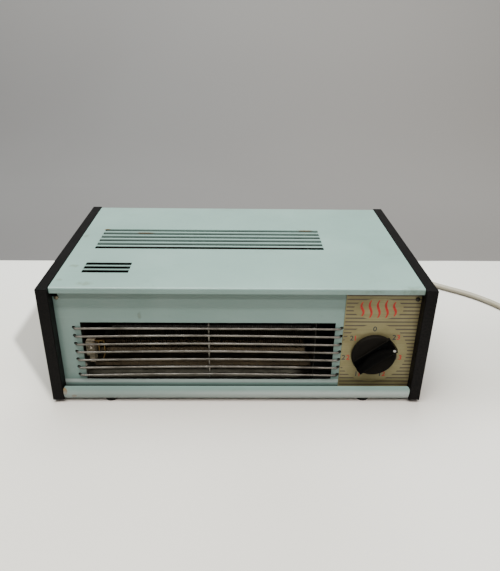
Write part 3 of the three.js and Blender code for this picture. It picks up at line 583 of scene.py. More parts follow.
def plate_material(name):
    """Gold anodised aluminium with thin printed lines that stop short of the dial and the sign."""
    n = Nodes(name, (150, 144, 104), roughness=0.45, metallic=0.2, specular=0.3)
    brushed = n.noise(150, 3, 0.6, (0.15, 1, 6))
    n.layer((134, 126, 86), n.ramp((30, 4, 0.6), 0.35, 0.7))
    n.layer((116, 106, 70), n.ramp(brushed, 0.3, 0.75, 0, 0.35))
    first_line, half_pitch, face = 0.01295, 0.002262, depth(PLATE.front)
    wave = n.maths("PINGPONG", n.maths("SUBTRACT", n.z, first_line), half_pitch)
    around = n.near((DIAL.x, face, height(DIAL.z)), 37.5, 0.985)
    sign = n.near((148.2, face, SIGN.z), 27, 0.97, (1, 1, 2.1))
    free = n.maths("SUBTRACT", 1.0, n.maths("MAXIMUM", around, sign))
    inside = n.times(n.ramp(n.z, 0.0150, 0.0152), n.ramp(n.x, 0.1138, 0.114))
    n.layer((70, 60, 60), n.ramp(wave, 0.00055, 0.0009, 1, 0), free, inside, 0.88)
    n.finish(n.ramp(brushed, 0.3, 0.7, 0.34, 0.5), brushed, 0.1, 0.03)


def cord_material(name):
    """Aged cream PVC, slightly glossy, with grime along it."""
    n = Nodes(name, (178, 171, 150), roughness=0.38, specular=0.45)
    n.layer((166, 157, 132), n.ramp((22, 4), 0.35, 0.7))
    n.layer((112, 102, 80), n.ramp((90, 5, 0.7), 0.56, 0.76, 0, 0.4))
    n.finish(n.ramp((60, 3), 0.3, 0.7, 0.32, 0.48), n.noise(380, 3), 0.12, 0.08)


def floor_material(name):
    """A pale, cloudy table top with painted shadows beside the heater and painted light in front of it and
    towards the back; these are only seen, and what it sends back to the heater is even.
    """
    n = Nodes(name, (246, 241, 231), roughness=0.8, specular=0.1)
    x, y = n.x, n.y
    n.layer((240, 235, 225), n.ramp((2.2, 4), 0.35, 0.7))
    right = n.ramp(x, 0.05, 0.25, 0, 0.85)
    # painted shadow on the table just right of the heater
    n.layer((224, 221, 212), n.ramp(y, -0.17, -0.08), n.ramp(y, 0, 0.12, 1, 0), right)
    # painted light: the table brighter in front of the heater, towards the right
    n.layer((255, 251, 243), n.ramp(y, -0.2, -0.11, 1, 0), n.ramp(x, 0.02, 0.22, 0, 0.9))
    # painted light: the table brighter towards the back
    n.layer((255, 253, 246), n.ramp(y, -0.1, 0.24), 0.9)
    slant = n.maths("ADD", y, n.times(x, 1.43))  # the slanting edge of the shade left of the heater
    sides = n.ramp(x, -0.304, -0.29), n.ramp(x, -0.21, -0.2, 1, 0)
    n.layer((176, 172, 165), n.ramp(slant, -0.426, -0.41), *sides)
    path = n.add("LightPath").outputs
    by_eye = n.maths("MAXIMUM", path["Is Camera Ray"], path["Is Glossy Ray"])
    n.colour = n.mix(by_eye, (118, 116, 112), n.colour)
    n.finish(None, n.noise(60, 4), 0.05, 0.3)


def backdrop_material(name):
    """A soft grey backdrop with painted light, paler higher up and to the right, and painted shade nearer
    the front.
    """
    n = Nodes(name, (136, 134, 133), roughness=0.9, specular=0.1)
    n.layer((131, 128, 127), n.ramp((0.8, 3), 0.3, 0.7))
    # painted light: paler to the right
    n.layer((154, 149, 145), n.ramp(n.x, -0.6, 0.9, 0, 0.8))
    # painted light: paler higher up
    n.layer((255, 252, 248), n.ramp(n.z, 0, 0.6, 0, 0.15))
    # painted shade: darker nearer the front
    n.layer((0, 0, 0), n.ramp(n.y, 0.4, 0.95, 0.18, 0))
    n.finish()


PLASTICS = {  # base, pale, roughness, then what differs from the usual grain
    "side_plastic": ((14, 12, 12), (22, 19, 19), 0.45, 1100, 0.06, 0.075, 1.0, (6, 6, 6)),
    "dot_paint": ((232, 230, 222), (214, 210, 198), 0.4),
    "bakelite": ((58, 34, 24), (78, 50, 36), 0.35),
    "terminal_plastic": ((222, 214, 192), (204, 194, 168), 0.45),
    "tie_plastic": ((24, 24, 25), (40, 40, 42), 0.5),
    "brown_lead": ((92, 54, 34), (110, 70, 46), 0.42),
    "blue_lead": ((44, 92, 150), (66, 112, 166), 0.42),
}
METALS = {  # base, dark, roughness, then how the brushing is stretched and its scale
    "nickel_wire": ((120, 117, 110), (80, 77, 71), 0.4),
    # a darker copy of the screw steel, as painted shade for the right front screw
    "shaded_steel": ((62, 60, 56), (40, 38, 35), 0.5),
    "aged_steel": ((132, 126, 108), (92, 84, 66), 0.42),
    "nickel_steel": ((198, 192, 182), (134, 124, 110), 0.3),
    "lamination": ((92, 94, 98), (58, 52, 48), 0.5, (40, 0.5, 0.5), 60),
    "copper": ((168, 92, 48), (104, 52, 28), 0.35, (1, 1, 30), 50),
    "brass": ((112, 90, 54), (76, 58, 34), 0.4),
    "heating_wire": ((38, 34, 28), (20, 18, 14), 0.55),
}
GRAINS = {  # base, dark, roughness and scale
    "rubber": ((26, 25, 24), (38, 36, 34), 0.8, 240),
    "ceramic": ((182, 174, 150), (122, 112, 88), 0.65, 160),
}
PRINTS = {"dark_print": ((38, 44, 50), (56, 62, 66)), "red_print": ((206, 58, 50), (188, 52, 46))}
SINGLES = {
    "painted_steel": paint_material, "knob_plastic": knob_material, "zinc_sheet": duct_material,
    "mica": mica_material, "cord_pvc": cord_material, "gold_plate": plate_material,
    "floor_finish": floor_material, "backdrop_finish": backdrop_material,
}
SIGN = Sizes(x=131, z=114.5, pitch=8.6)  # the heat sign's first stroke and its middle

for make, table in (
    (plastic_material, PLASTICS), (metal_material, METALS),
    (grain_material, GRAINS), (print_material, PRINTS),
):
    for name, looks in table.items():
        make(name, *looks)
for name, make in SINGLES.items():
    make(name)

# ---- camera, light and floor

CAMERA_PLACE = (-1.85, -630.54, 398.02)
CAMERA_YAW, CAMERA_PITCH, CAMERA_ROLL = -1.53, -26.44, 0.98
STRIP_COLOUR, STRIP_AIM = (1, 0.91, 0.89), (0, -0.12, 0.12)
LIGHTS = [  # name, place, aim, size, power and colour, in metres
    ("overhead", (-0.35, 0.2, 2.2), (0, 0, 0), (2.6, 1.3), 85, (0.92, 1, 0.985)),
    ("steep_strip", (0.0, -0.872, 2.187), STRIP_AIM, (2.4, 0.12), 33, STRIP_COLOUR),
    ("middle_strip", (0.0, -1.475, 1.854), STRIP_AIM, (2.4, 0.12), 18, STRIP_COLOUR),
    ("low_strip", (0.0, -2.3, 1.3), (0, 0, 0.1), (2.6, 0.14), 4, STRIP_COLOUR),
]
SKY, SKY_LIGHT, SKY_SEEN = (0.96, 0.97, 1, 1), 0.06, 0.5


def make_camera():
    data = bpy.data.cameras.new("camera")
    data.lens, data.sensor_width, data.clip_end = 35.33, 36, 50
    camera = linked("camera", data)
    turn = turned(CAMERA_YAW, "Z") @ turned(90 + CAMERA_PITCH, "X") @ turned(CAMERA_ROLL, "Z")
    camera.matrix_world = Matrix.Translation(Vector(CAMERA_PLACE) * MM) @ turn
    bpy.context.scene.camera = camera


def make_light():
    """The area lights, and a dim sky that looks brighter past the stage's edges."""
    for name, place, aim, size, power, colour in LIGHTS:
        data = bpy.data.lights.new(name, "AREA")
        data.shape, data.energy, data.color = "RECTANGLE", power, colour
        data.size, data.size_y = size
        light = linked(name, data)
        light.location = place
        light.rotation_euler = (Vector(aim) - Vector(place)).to_track_quat("-Z", "Y").to_euler()
    world = bpy.data.worlds.new("world")
    world.use_nodes = True
    nodes, link = world.node_tree.nodes, world.node_tree.links.new
    either = nodes.new("ShaderNodeMixShader")
    link(nodes.new("ShaderNodeLightPath").outputs["Is Camera Ray"], either.inputs[0])
    skies = (nodes["Background"], SKY_LIGHT), (nodes.new("ShaderNodeBackground"), SKY_SEEN)
    for i, (sky, strength) in enumerate(skies):
        sky.inputs["Color"].default_value = SKY
        sky.inputs["Strength"].default_value = strength
        link(sky.outputs[0], either.inputs[i + 1])
    link(either.outputs[0], nodes["World Output"].inputs["Surface"])
    bpy.context.scene.world = world


@maker
def curtain(bm, line, reach):
    """Adds a face between neighbours of a line of (y, z), that far to the left and right."""
    sides = [[bm.verts.new((x, y, z)) for y, z in line] for x in (-reach, reach)]
    for corners in zip(*sides, sides[1][1:], sides[0][1:]):
        bm.faces.new(corners)


def make_stage():
    """A pale table top that ends behind the heater, and a grey sweep behind and below it."""
    far, thick, below, back, bend = 3000, 18, -60, 900, 700
    top = [(-far, -far), (-far, 262), (-400, 264), (0, 266), (380, 274), (far, 276), (far, -far)]
    table = to_object("table_top", "floor_finish", prism(top, -thick, 0, "Z"), smooth=0)
    line = [(-4000, below), (back, below), *arc((back, below + bend), bend, -90, 0, 16), (back + bend, 3200)]
    bevelled(table, 3, 3)
    to_object("backdrop", "backdrop_finish", curtain(line, 5000))


make_camera()
make_stage()
make_light()

# ---- the cord, its coil, tie and plug

REST = 4.3  # the height of the cord's middle on the floor
ROUTE = [
    (160, 108, 24), (160, 129, 24), (160, 150, 24), (160, 170, 24), (160.3, 181, 22.9),
    (161.5, 192, 19.4), (164.5, 203, 14), (170, 213, 8.8), (178.5, 221, 5.6), (190, 226.5, 4.4),
]
ROUTE += [(x, y, REST) for x, y in (
    (204, 228.5), (220, 227.5), (236, 223.5), (252, 216), (268, 206), (284, 193.5), (300, 179.5),
    (317, 164), (331, 153.5), (345, 143.5), (357, 134), (368, 123.5), (379.5, 110), (389.5, 95.5),
    (398, 81), (406.5, 67), (416, 53.5), (427.5, 41), (441, 31),
)]
PLUG_START = 34  # from the coil to the plug's sleeve
PLUG = Sizes(sleeve=26, body=38, wide=35, thick=15, z=7.8, pin=2, length=19, spacing=19, earth=4)
TIE = Sizes(z=11.3, inner=10.35, thick=0.8, half=3.0)


def coil_points():
    """The turns, as strands that twist slowly round the middle of their bundle, a diameter apart."""
    turns = COIL.laps + (COIL.end - COIL.start) / 360
    count = round(turns * 40)
    points = []
    for i in range(count + 1):
        lap = turns * i / count
        angle, phase = radians(COIL.start + 360 * lap), radians(-45 - 90 * lap)
        radius = COIL.radius + BUNDLE * cos(phase)
        lift = BUNDLE * max(abs(sin(phase)), abs(cos(phase)))
        rise = REST + 0.9 + lift + BUNDLE * sin(phase)
        points.append((COIL.x + radius * cos(angle), COIL.y + radius * sin(angle), rise))
    return points


def smooth_path(points, steps):
    """A centripetal Catmull-Rom curve through the points."""
    points = [Vector(p) for p in points]
    ends = [2 * points[0] - points[1], *points, 2 * points[-1] - points[-2]]
    levels = ((0, 1), (1, 2), (2, 3)), ((0, 2), (1, 3)), ((1, 2),)
    result = [points[0]]
    for four in zip(ends, ends[1:], ends[2:], ends[3:]):
        knots = [0]
        for before, after in zip(four, four[1:]):
            knots.append(knots[-1] + (after - before).length ** 0.5)
        for i in range(1, steps + 1):
            t = knots[1] + (knots[2] - knots[1]) * i / steps
            spots = four
            for spans in levels:
                shares = [(t - knots[p]) / (knots[q] - knots[p]) for p, q in spans]
                spots = [a.lerp(b, share) for a, b, share in zip(spots, spots[1:], shares)]
            result += spots
    return result


def make_cord():
    coil = coil_points()
    x, y, z = leave = coil[-1]
    tail = [(x, y + 13, z - 1.4), (x, y + 27, PLUG.z + 0.6), (x, y + PLUG_START + 10, PLUG.z)]
    line = smooth_path(ROUTE + coil + tail, 4)
    curve = bpy.data.curves.new("mains_cord_curve", "CURVE")
    curve.dimensions, curve.use_fill_caps = "3D", True
    curve.bevel_depth, curve.bevel_resolution = CORD_RADIUS * MM, 5
    spline = curve.splines.new("POLY")
    spline.points.add(len(line) - 1)
    for spot, point in zip(spline.points, line):
        spot.co = (*(point * MM), 1)
    spline.use_smooth = True
    curve.materials.append(MATERIALS["cord_pvc"])
    cord = linked("mains_cord_fine", curve)
    return finished(cord, "cord_pvc", "mains_cord", "cord_coil"), Vector(leave)


@maker
def band(bm, centre, outward, along, up):
    """Adds the tie's band, a little squarer than a circle."""
    thick, half, sides = TIE.thick, TIE.half, 64
    section = ((0, -half), (thick, -half + 0.3), (thick, half - 0.3), (0, half))
    rings = []
    for k, (c, s) in enumerate(circle(sides)):
        ray = outward * c + up * s
        inner = centre + ray * (TIE.inner + 0.25 * cos(8 * pi * k / sides))
        rings.append([bm.verts.new(inner + ray * rise + along * side) for rise, side in section])
    join_rings(bm, rings + rings[:1])


def make_tie():
    """A black band pulled round the bundle, with a small buckle."""
    turn = turned(COIL.tie, "Z")
    outward, along, up = (turn @ Vector(way) for way in ((1, 0, 0), (0, 1, 0), (0, 0, 1)))
    centre = Vector((COIL.x, COIL.y, TIE.z)) + outward * COIL.radius
    buckle = block((-2.2, -4.2, 0), (2.2, 4.2, 3.2), Matrix.Translation(centre + up * 10.6) @ turn)
    tie = piece("cord_tie", "tie_plastic", band(centre, outward, along, up))
    return tie, piece("cord_tie_buckle", "tie_plastic", buckle, bevel=[0.6])


def make_plug(leave):
    """A flat moulded plug with grip ribs and a ribbed sleeve, pointing straight back (+Y)."""
    x, z, back = leave.x, PLUG.z, (0, 1, 0)
    start = leave.y + PLUG_START
    shoulder = start + PLUG.sleeve
    end = shoulder + PLUG.body
    half, neck, low, high = PLUG.wide / 2, 7, z - PLUG.thick / 2, z + PLUG.thick / 2
    outline = [(-neck, shoulder - 3), (-half, shoulder + 14), (-half, end)]
    outline += [(-across, y) for across, y in outline[::-1]]
    shell = prism([(x + across, y) for across, y in outline], low, high, "Z")
    shell = bevelled(to_object("plug_shell", "cord_pvc", shell), 2.6, 5, 20)
    made = [finished(shell, "cord_pvc", "plug_body")]
    parts = []
    for side in (-1, 1):
        for i in range(5):
            rib = x + side * (half - 0.3), shoulder + 17 + 3.6 * i
            parts.append(sweep([(*rib, low + 3.4), (*rib, high - 3.4)], 0.8, 10))
    profile = [(0, 0), (4.8, 0), (5.4, 0.6)]
    for i in range(5):
        at = 2.5 + 4.4 * i
        size = 5.4 + 1.4 * at / PLUG.sleeve
        profile += [(size, at), (size - 0.8, at + 0.5), (size - 0.8, at + 1.5), (size, at + 2)]
    profile += [(6.8, PLUG.sleeve), (6.8, PLUG.sleeve + 6), (0, PLUG.sleeve + 6)]
    made.append(piece("plug_sleeve", "cord_pvc", *parts, lathe(profile, 32, (x, start, z), back), smooth=30))
    radius, tip, side = PLUG.pin, PLUG.length, PLUG.spacing / 2
    profile = [(0, -3), (radius, -3), (radius, tip - 1.4), (radius - 0.3, tip - 0.6), (1, tip - 0.1)]
    profile.append((0, tip))
    for name, across, up in (("live", side, 0), ("neutral", -side, 0), ("earth", 0, PLUG.earth)):
        pin = lathe(profile, 24, (x + across, end, z + up), back)
        made.append(piece("plug_pin_" + name, "nickel_steel", pin, smooth=30))
    return made


def make_gland():
    """The tapered strain relief, ringed by flexing grooves."""
    rear = span("rear_panel")[1].y + 0.3
    length = span("cord_gland")[1].y - rear
    grooves, inside, bore = 6, -4.5, CORD_RADIUS + 0.1
    profile = [(CORD_RADIUS + 0.25, inside), (9, inside), (9, -1.5), (6.6, -1.5), (6.6, 0), (9, 0)]
    profile += [(9.2, 0.6), (9, 4), (8, 5.2)]
    for i in range(grooves):
        at = 7 + (length - 10) * i / grooves
        size = 7.4 - 1.7 * at / length
        profile += [(size, at), (size, at + 2.8), (size - 0.9, at + 3.2), (size - 0.9, at + 4.2)]
    profile += [(5.7, length - 2), (5.5, length - 0.4), (5.1, length), (bore, length), (bore, inside)]
    turned_body = lathe(profile, 40, (EXIT[0], rear, EXIT[2]), (0, 1, 0))
    return piece("cord_gland", "cord_pvc", turned_body, smooth=30)


cord, cord_leave = make_cord()
tie_parts = make_tie()
plug_parts = make_plug(cord_leave)
gland = make_gland()

# ---- the case


def make_side_panels():
    """Moulded boards with softened edges, hollow on their inner side."""
    wall, rim, rib = 3, 16, 2
    for side, node in ((-1, "side_panel_left"), (1, "side_panel_right")):
        low, high = span(node)
        panel = bevelled(to_object(node + "_fine", "side_plastic", block(low, high)), 1.1, 4)
        outer = high.x - wall if side > 0 else low.x + wall
        x0, x1 = sorted((side * (INNER - 2), outer))
        middle = (low.y + high.y) / 2
        hollows = (low.y + rim + 14, middle - rib), (middle + rib, high.y - rim)
        cut(panel, *(block((x0, y0, low.z + rim), (x1, y1, high.z - rim)) for y0, y1 in hollows))
        finished(panel, "side_plastic", node)


def slot_boxes(slot, start, end, low, high, spare=0, skip=0):
    """Boxes along a row of slots, from one offset to another off each slot's middle."""
    left, right = slot.left - spare, slot.right + spare
    middles = [depth(slot.first + i * slot.pitch) for i in range(skip, slot.count)]
    return [block((left, y + start, TOP + low), (right, y + end, TOP + high)) for y in middles]


def make_cover():
    """The folded cover: five of its long slots have their rear edge turned down."""
    front, rear, half = depth(COVER_FRONT), depth(COVER_REAR), LONG_SLOT.width / 2
    flange, wall = 2.2, 0.9
    line = [(rear, TOP - COVER_REAR_LIP), (rear, TOP), (front, TOP), (front, TOP - COVER_LIP)]
    flanges = slot_boxes(LONG_SLOT, half, half + wall, -flange, -0.4, 0.5, 1)
    slots = []
    for slot in (LONG_SLOT, SHORT_SLOT):
        slots += slot_boxes(slot, -slot.width / 2, slot.width / 2, -9, 2)
    sheet, edges = folded_sheet(line, 2), (0.22, 2, 50)
    piece("top_cover", "painted_steel", sheet, joined=flanges, cuts=slots, bevel=edges)


def wire_heights():
    return [height(WIRE.low + i * WIRE.pitch) for i in range(WIRE.count)]


def front_holes(low, high, *ends):
    """The screw's, the spindle's and the wires' holes from one depth to another."""
    places = [(x, z + 0.2, WIRE_HOLE) for z in wire_heights() for x in ends]
    places += [(part.x, height(part.z), part.hole) for part in (SCREW, DIAL)]
    return [rod(*place, depth(low), depth(high)) for place in places]


def deep_block(left, right, front, back, low, high):
    """A box between depths and heights."""
    return block((left, depth(front), height(low)), (right, depth(back), height(high)))


def make_front_panel():
    """The front panel: the window, a notch behind the left screw, and the holes the wires go into."""
    front, rise = depth(PANEL_FRONT), TOP - SHEET - 0.3
    line = [(front, height(7.5)), (front, rise), (depth(PANEL_FRONT + 14), rise)]
    low, high = PANEL_FRONT - 3, PANEL_FRONT + 4
    cuts = [
        deep_block(WINDOW.left, WINDOW.right, low, high, WINDOW.low, WINDOW.high),
        deep_block(-INNER - 1, -INNER + 5.4, low, high, 123.8, 134),
    ]
    cuts += front_holes(low, high, WIRE.left - 0.3, WIRE.right + 0.3)
    piece("front_panel", "painted_steel", folded_sheet(line, 1.8, -SHEET), cuts=cuts, bevel=(0.2, 2, 50))


def make_pan():
    """The base pan: rolled into a bead at the front, with rounded upper corners on the bead."""
    line = []
    for i in range(31):
        turn = radians(BEAD.start - (BEAD.start + 90) * i / 30)
        y = depth(BEAD.front + BEAD.deep * (1 - cos(turn)))
        line.append(Vector((y, height(BEAD.half * (1 + sin(turn))))))
    rear, corner, past, top = depth(COVER_REAR), 4.5, 2, line[0].y
    line += rounded_line([line[-1], (rear, FLOOR), (rear, height(10))], 1.6)[1:]
    cuts = []
    for side in (-1, 1):
        x, z, away = side * (INNER - corner), top - corner, side * (INNER + past)
        curve = arc((x, z), corner, 0 if side > 0 else 180, 90, 10)
        outline = [*curve, (x, top + past), (away, top + past), (away, z)]
        cuts.append(prism(outline, depth(-2), depth(9), "Y"))
    profile = [(0, FLOOR - 2), (FOOT.hole, FLOOR - 2), (FOOT.hole, FLOOR + 4), (0, FLOOR + 4)]
    for x in (-FOOT.x, FOOT.x):
        cuts += [lathe(profile, 24, (x, depth(y), 0)) for y in (FOOT.front, FOOT.rear)]
    pan = prism(line + offset_line(line, SHEET)[::-1], -INNER, INNER)
    piece("base_pan", "painted_steel", pan, cuts=cuts, bevel=(0.2, 2, 50))


def make_feet():
    """Rubber buttons with a mould ring, pushed up through the pan."""
    neck, top = 2.7, FLOOR
    profile = [
        (0, 0.5), (2.6, 0.5), (3, 0), (5.9, 0), (6.9, 0.35), (7.4, 1.2), (7.5, top - 0.6), (7.2, top - 0.3),
        (neck, top - 0.3), (neck, top + 1.5), (neck + 1.8, top + 1.5), (neck + 1.4, top + 2.4),
        (1.6, top + 6), (0, top + 6.2),
    ]
    for row, y in (("front", FOOT.front), ("rear", FOOT.rear)):
        for column, x in (("left", -FOOT.x), ("right", FOOT.x)):
            piece(f"foot_{row}_{column}", "rubber", lathe(profile, 40, (x, depth(y), 0)), smooth=30)


def pan_head(name, place, outward, *nodes, radius=2.4, tall=1.6, shank=8, turn=20, material="nickel_steel"):
    """A slotted pan-head screw whose head stands on a place and faces outwards along Y."""
    shank_radius, flank, slot = 1.4, 0.35, Vector((radius + 1, 0.8, 0.32))
    profile = [(0, -shank), (shank_radius, -shank), (shank_radius, 0), (radius, 0), (radius, tall * flank)]
    for a in (0.35, 0.7, 1.05, 1.35):
        profile.append((radius * cos(a), tall * (flank + (1 - flank) * sin(a))))
    body = lathe([*profile, (0, tall)], 32, place, (0, outward, 0))
    middle = Matrix.Translation(Vector(place) + Vector((0, outward * (tall + 0.1), 0)))
    screw = cut(to_object(name, material, body, smooth=35), block(-slot, slot, middle @ turned(turn, "Y")))
    finished(screw, "nickel_steel", *nodes)


def make_screws():
    left = -SCREW.x, depth(PANEL_FRONT - 0.3), height(SCREW.z)
    right = SCREW.x, depth(PLATE.front - 0.3), height(SCREW.z)
    pan_head("front_screw_left_fine", left, -1, "front_screw_left", material="aged_steel")
    # the right screw takes the darker steel as painted shade
    pan_head("front_screw_right_fine", right, -1, "front_screw_right", turn=70, material="shaded_steel")
    for i, (x, z) in enumerate(((-130, TOP - 7), (130, TOP - 7), (-130, height(5)), (110, height(5)))):
        place, turn = (x, depth(COVER_REAR), z), 35 * i + 10
        pan_head(f"rear_screw_{i + 1}", place, 1, radius=3, tall=1.9, shank=5, turn=turn)


def make_grille():
    """Nickel-plated wires, each a little out of true, and the stay rod behind them."""
    wobble = random.Random(7)
    left, right = WIRE.left, WIRE.right
    front, back = depth(WIRE.depth), depth(PANEL_FRONT + SHEET + 4)
    bends = rounded_line([(left, back), (left, front), (right, front), (right, back)], 2.2, 8)
    middle = len(bends) // 2
    run = [bends[middle - 1].lerp(bends[middle], t / 30) for t in range(1, 30)]
    plan = bends[:middle] + run + bends[middle:]
    for i, z in enumerate(wire_heights()):
        phase, sag = wobble.uniform(0, 6.28), wobble.uniform(0.15, 0.4)
        line = []
        for x, y in plan:
            t = (x - left) / (right - left)
            lift = sin(pi * t) * (WIRE_BOWS[i] + sag * sin(phase + 3.5 * t))
            line.append((x, y, z + lift))
        piece(f"grille_wire_{i + 1}", "nickel_wire", sweep(line, WIRE.radius - 0.2))
    x, low, high = STAY.x, height(STAY.low), height(STAY.high)
    front, back, weld, weld_depth = depth(STAY.depth), depth(STAY.back), 1.6, depth(11.8)
    plan = rounded_line([(back, low), (front, low), (front, high), (back, high)], 2, 8)
    parts = [sweep([(x, y, z) for y, z in plan], STAY.radius)]
    for z in wire_heights():
        parts.append(sweep([(x - weld, weld_depth, z + 0.5), (x + weld, weld_depth, z + 0.5)], 0.5, 8))
    piece("grille_stay_rod", "nickel_wire", *parts)


# ---- the control plate and the knob

PRINT = 0.06  # how far the print stands on the plate
LABELS = [  # digits, their middle and how far apart they stand; the first is dark, the second red
    ("0", 147.1, 89.9, 0), ("23", 171.5, 79.4, 4.6), ("13", 176.7, 53.7, 4.4), ("12", 161, 31.7, 4),
    ("11", 134, 31.6, 3.6), ("22", 118.7, 53.5, 4.9), ("21", 125, 78.3, 3.8),
]
KNOB = Sizes(radius=24.5, low=1.6, disc=7.5, middle=12, base=8.5, bore=3.3)
GRIP = Sizes(reach=25, rise=8, tail=22.5, tail_rise=6)
DOT = Sizes(x=22.8, radius=1.6, top=19)


@maker
def ribbon(bm, line, widths, y0, y1):
    """Adds a flat stroke along a line in (x, z), with a half width at each point."""
    edges = []
    for i, point in enumerate(line):
        way = (line[min(i + 1, len(line) - 1)] - line[max(i - 1, 0)]).normalized()
        side = Vector((-way.y, way.x)) * widths[i]
        edges.append((point - side, point + side))
    for (a, b), (c, d) in zip(edges, edges[1:]):
        prism([a, c, d, b], y0, y1, "Y")(bm)


@maker
def printed(bm, digit, x, z, face):
    """Adds a printed digit centred on (x, z) of the plate's face."""
    curve = bpy.data.curves.new("digit", "FONT")
    curve.body, curve.size, curve.extrude, curve.offset = digit, 8.4, PRINT / 2, 0.13
    curve.align_x, curve.align_y, curve.resolution_u = "CENTER", "CENTER", 4
    holder = linked("digit", curve)
    bpy.context.view_layer.update()
    mesh = bpy.data.meshes.new_from_object(holder.evaluated_get(bpy.context.evaluated_depsgraph_get()))
    mesh.transform(Matrix.Translation((x, face - PRINT / 2, z)) @ turned(90, "X"))
    bm.from_mesh(mesh)
    bpy.data.objects.remove(holder)
    bpy.data.meshes.remove(mesh)


def make_plate():
    """The thin gold plate, its dial numbers and a plain sign for heat."""
    front, face = PLATE.front, depth(PLATE.front)
    low, high = (PLATE.left, face, height(PLATE.low)), (INNER, face + PLATE.thick, height(PLATE.high))
    holes = front_holes(front - 2, front + 3, WIRE.right + 0.3)
    piece("control_plate", "gold_plate", block(low, high), cuts=holes, bevel=(0.15, 2, 50))

    for k, ink in enumerate(("dark", "red")):
        rows = [row for row in LABELS if k < len(row[0])]
        digits = [printed(label[k], x + (k - 0.5) * step, z, face) for label, x, z, step in rows]
        piece("dial_numbers_" + ink, "gold_plate", *digits, material=ink + "_print", smooth=0)

    shares = [i / 24 for i in range(25)]
    widths = [0.55 + 0.75 * sin(pi * t) for t in shares]
    strokes = []
    for k, reach in enumerate((8.6, 10.6, 10.6, 10.6, 8.6)):
        x, low = SIGN.x + SIGN.pitch * k, SIGN.z - reach
        wave = [Vector((x + 1.5 * sin(2 * pi * t), low + 2 * reach * t)) for t in shares]
        strokes.append(ribbon(wave, widths, face - PRINT, face + 0.02))
    piece("heat_sign", "gold_plate", *strokes, material="red_print", smooth=0)


def knob_frame():
    """The knob's own frame in metres: +Z out of the front, +X along the grip towards the dot."""
    spin = turned(90 - DIAL.set * 360 / DIAL.positions, "Z")
    centre = Vector((DIAL.x, depth(PANEL_FRONT), height(DIAL.z)))
    return Matrix.Translation(centre * MM) @ turned(90, "X") @ spin


def grip_section(x):
    """Half of the grip's outline across its length: (half width, height) from the base to the ridge."""
    reach, rise = (GRIP.reach, GRIP.rise) if x > 0 else (GRIP.tail, GRIP.tail_rise)
    bend = (x / reach) ** 2
    top = KNOB.middle + rise * bend
    narrow, taper, disc, crest = 1 - 0.06 * bend, 5.9 / 13.5, KNOB.disc, top - 1.1

    def half(z):
        return narrow * (KNOB.base - (z - disc) * taper)
    points = [(half(disc) * 0.98, 3.0), (half(disc), disc - 0.6)]
    for share in (0.0, 0.25, 0.5, 0.75):
        z = disc + (crest - disc) * share
        points.append((half(z) - 0.5 * sin(pi * share), z))
    edge = half(crest)
    points += [(edge, crest), (edge - 0.25, top - 0.45), (edge - 0.85, top - 0.08)]
    return [*points, ((edge - 1.2) * 0.45, top - 0.32), (0, top - 0.4)]


@maker
def grip_body(bm, steps=32):
    rings = []
    for i in range(steps + 1):
        x = -GRIP.tail + (GRIP.reach + GRIP.tail) * i / steps
        half = grip_section(x)
        rings.append([bm.verts.new((x, w, z)) for w, z in half + [(-w, z) for w, z in half[-2::-1]]])
    join_rings(bm, rings)
    bm.faces.new(rings[0])
    bm.faces.new(rings[-1])


def make_knob():
    """A round disc, dished a little, with a saddle-backed grip whose ends reach its edge."""
    r, top, low = KNOB.radius, KNOB.disc, KNOB.low
    profile = [
        (0, low), (r - 1, low), (r - 0.3, low + 0.2), (r, low + 0.9), (r, top - 1.9),
        (r - 0.25, top - 1.0), (r - 0.9, top - 0.3), (r - 1.9, top), (r - 4, top - 0.1),
        (r * 0.6, top - 0.7), (r * 0.3, top - 1), (0, top - 1.1),
    ]
    disc = to_object("selector_knob_fine", "knob_plastic", lathe(profile, 96), smooth=35)
    grip = bevelled(to_object("grip", "knob_plastic", grip_body(), smooth=35), 0.45, 2, 40)
    radius, peak, place = DOT.radius, DOT.top, (DOT.x, 0, 0)
    well, seat = radius + 0.2, peak - 1
    well = lathe([(0, seat), (well, seat), (well, 25), (0, 25)], 32, place)
    bore = lathe([(0, -1), (KNOB.bore, -1), (KNOB.bore, 10), (0, 10)], 32)
    cut(combined(disc, grip, "UNION"), well, bore)
    profile = [(0, peak - 0.6), (radius, peak - 0.6), (radius, peak - 0.35), (radius - 0.3, peak - 0.05)]
    profile += [(0.7, peak), (0, peak)]
    dot = to_object("knob_pointer_dot_fine", "dot_paint", lathe(profile, 32, place))
    for obj in (disc, dot):
        obj.data.transform(knob_frame())
    disc.data.shade_smooth()
    disc.data.set_sharp_from_angle(angle=radians(30))
    finished(disc, "knob_plastic", "selector_knob", body="selector")
    finished(dot, "dot_paint", "knob_pointer_dot", body="selector")


# ---- behind the grille

ELEMENT = Sizes(front=27, back=49, low=52.3, high=77.2, pitch=2.4, end=76, radius=0.42)
RAILS = [  # name, height, left, right, tall, pitch, notch and bite
    ("top", 79.5, -138, 81, 3, 4.8, 2.2, 1.6),
    ("middle", 48.5, -153, 75, 6, 4.6, 1.8, 1.2),
    ("bottom", 30, -161, 83, 3, 9.6, 1.6, 1.0),
]


def comb_outline(left, right, front, back, pitch, notch, bite):
    """A rail's plan with notches along its front and rear edges."""
    points = [(left, front)]
    x = left + pitch
    while x + notch < right:
        steps = (0, 0), (0.2, bite), (0.8, bite), (1, 0)
        points += [(x + notch * share, front + deep) for share, deep in steps]
        x += pitch
    points += [(right, front), (right, back)]
    points += [(px, back - (py - front)) for px, py in points[-3:0:-1]]
    return [*points, (left, back)]


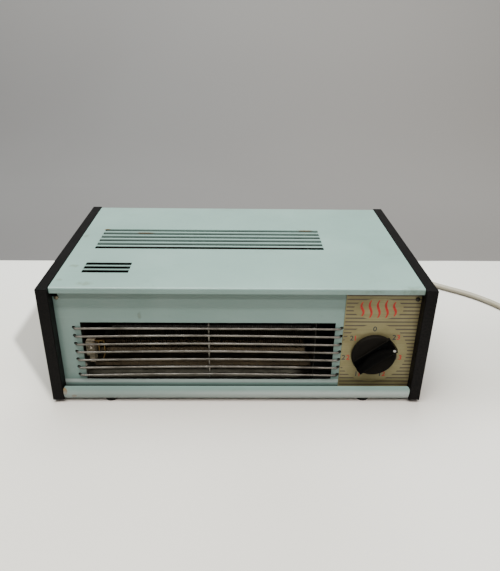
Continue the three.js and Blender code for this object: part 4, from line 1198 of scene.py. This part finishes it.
def make_element():
    """Notched rails and two banks of fine resistance wire laced between them."""
    front, back = depth(ELEMENT.front), depth(ELEMENT.back)
    for name, z, left, right, tall, *comb in RAILS:
        outline = comb_outline(left, right, front, back, *comb)
        rail = prism(outline, height(z - tall / 2), height(z + tall / 2), "Z")
        piece("element_rail_" + name, "mica", rail, smooth=0)
    low, high, pitch = height(ELEMENT.low), height(ELEMENT.high), ELEMENT.pitch
    for name, first, y in (("front", -135, 30.2), ("rear", -133.8, 43.4)):
        line = []
        for i in range(int((ELEMENT.end - first) / pitch) + 1):
            start, end = (low, high) if i % 2 == 0 else (high, low)
            for k in range(7):
                bow = 0.25 * sin(pi * k / 6) * sin(i * 1.7)
                line.append((first + i * pitch + bow, depth(y), start + (end - start) * k / 6))
        piece("element_winding_" + name, "heating_wire", sweep(line, ELEMENT.radius, 6))


def make_cutout():
    """The ceramic thermal cutout with its screw, its bent bimetal blade and its contact strip."""
    piece(
        "cutout_block", "ceramic", deep_block(-166, -157, 17, 30, 48, 66), bevel=(0.5, 2, 40),
        joined=[deep_block(-163.5, -157.6, 18, 29, 39, 49)],
        cuts=[deep_block(-164.2, -158.6, 15, 19.5, 51, 62.5)],
    )
    head = {"radius": 2.2, "tall": 1.4}
    pan_head("cutout_screw", (-161.4, depth(19.5), height(57)), -1, shank=3, turn=60, **head)
    corners = (-156.4, 66), (-146, 66), (-146, 50), (-149, 42)
    line = rounded_line([(x, height(z)) for x, z in corners], 1.2)
    blade = prism(line + offset_line(line, -0.8)[::-1], depth(19), depth(27), "Y")
    piece("cutout_blade", "brass", blade, bevel=(0.15, 1, 50))
    piece("cutout_contact_strip", "brass", deep_block(-153.4, -152.4, 20.5, 26, 52, 64.4), bevel=(0.2, 1))
    pan_head("duct_screw", (-168.4, depth(15.6), height(37.5)), -1, shank=0.2, turn=15, **head)


for make in (
    make_side_panels, make_cover, make_front_panel, make_pan, make_feet, make_screws, make_grille,
    make_plate, make_knob, make_element, make_cutout,
):
    make()

# The remaining nodes' finishes.
NODE_SLOTS = {row["node"]: row["material_slot"] for row in frame["record"]["subparts"]}
for node, obj in frame["nodes"].items():
    obj.data.materials.clear()
    obj.data.materials.append(MATERIALS[NODE_SLOTS[node]])
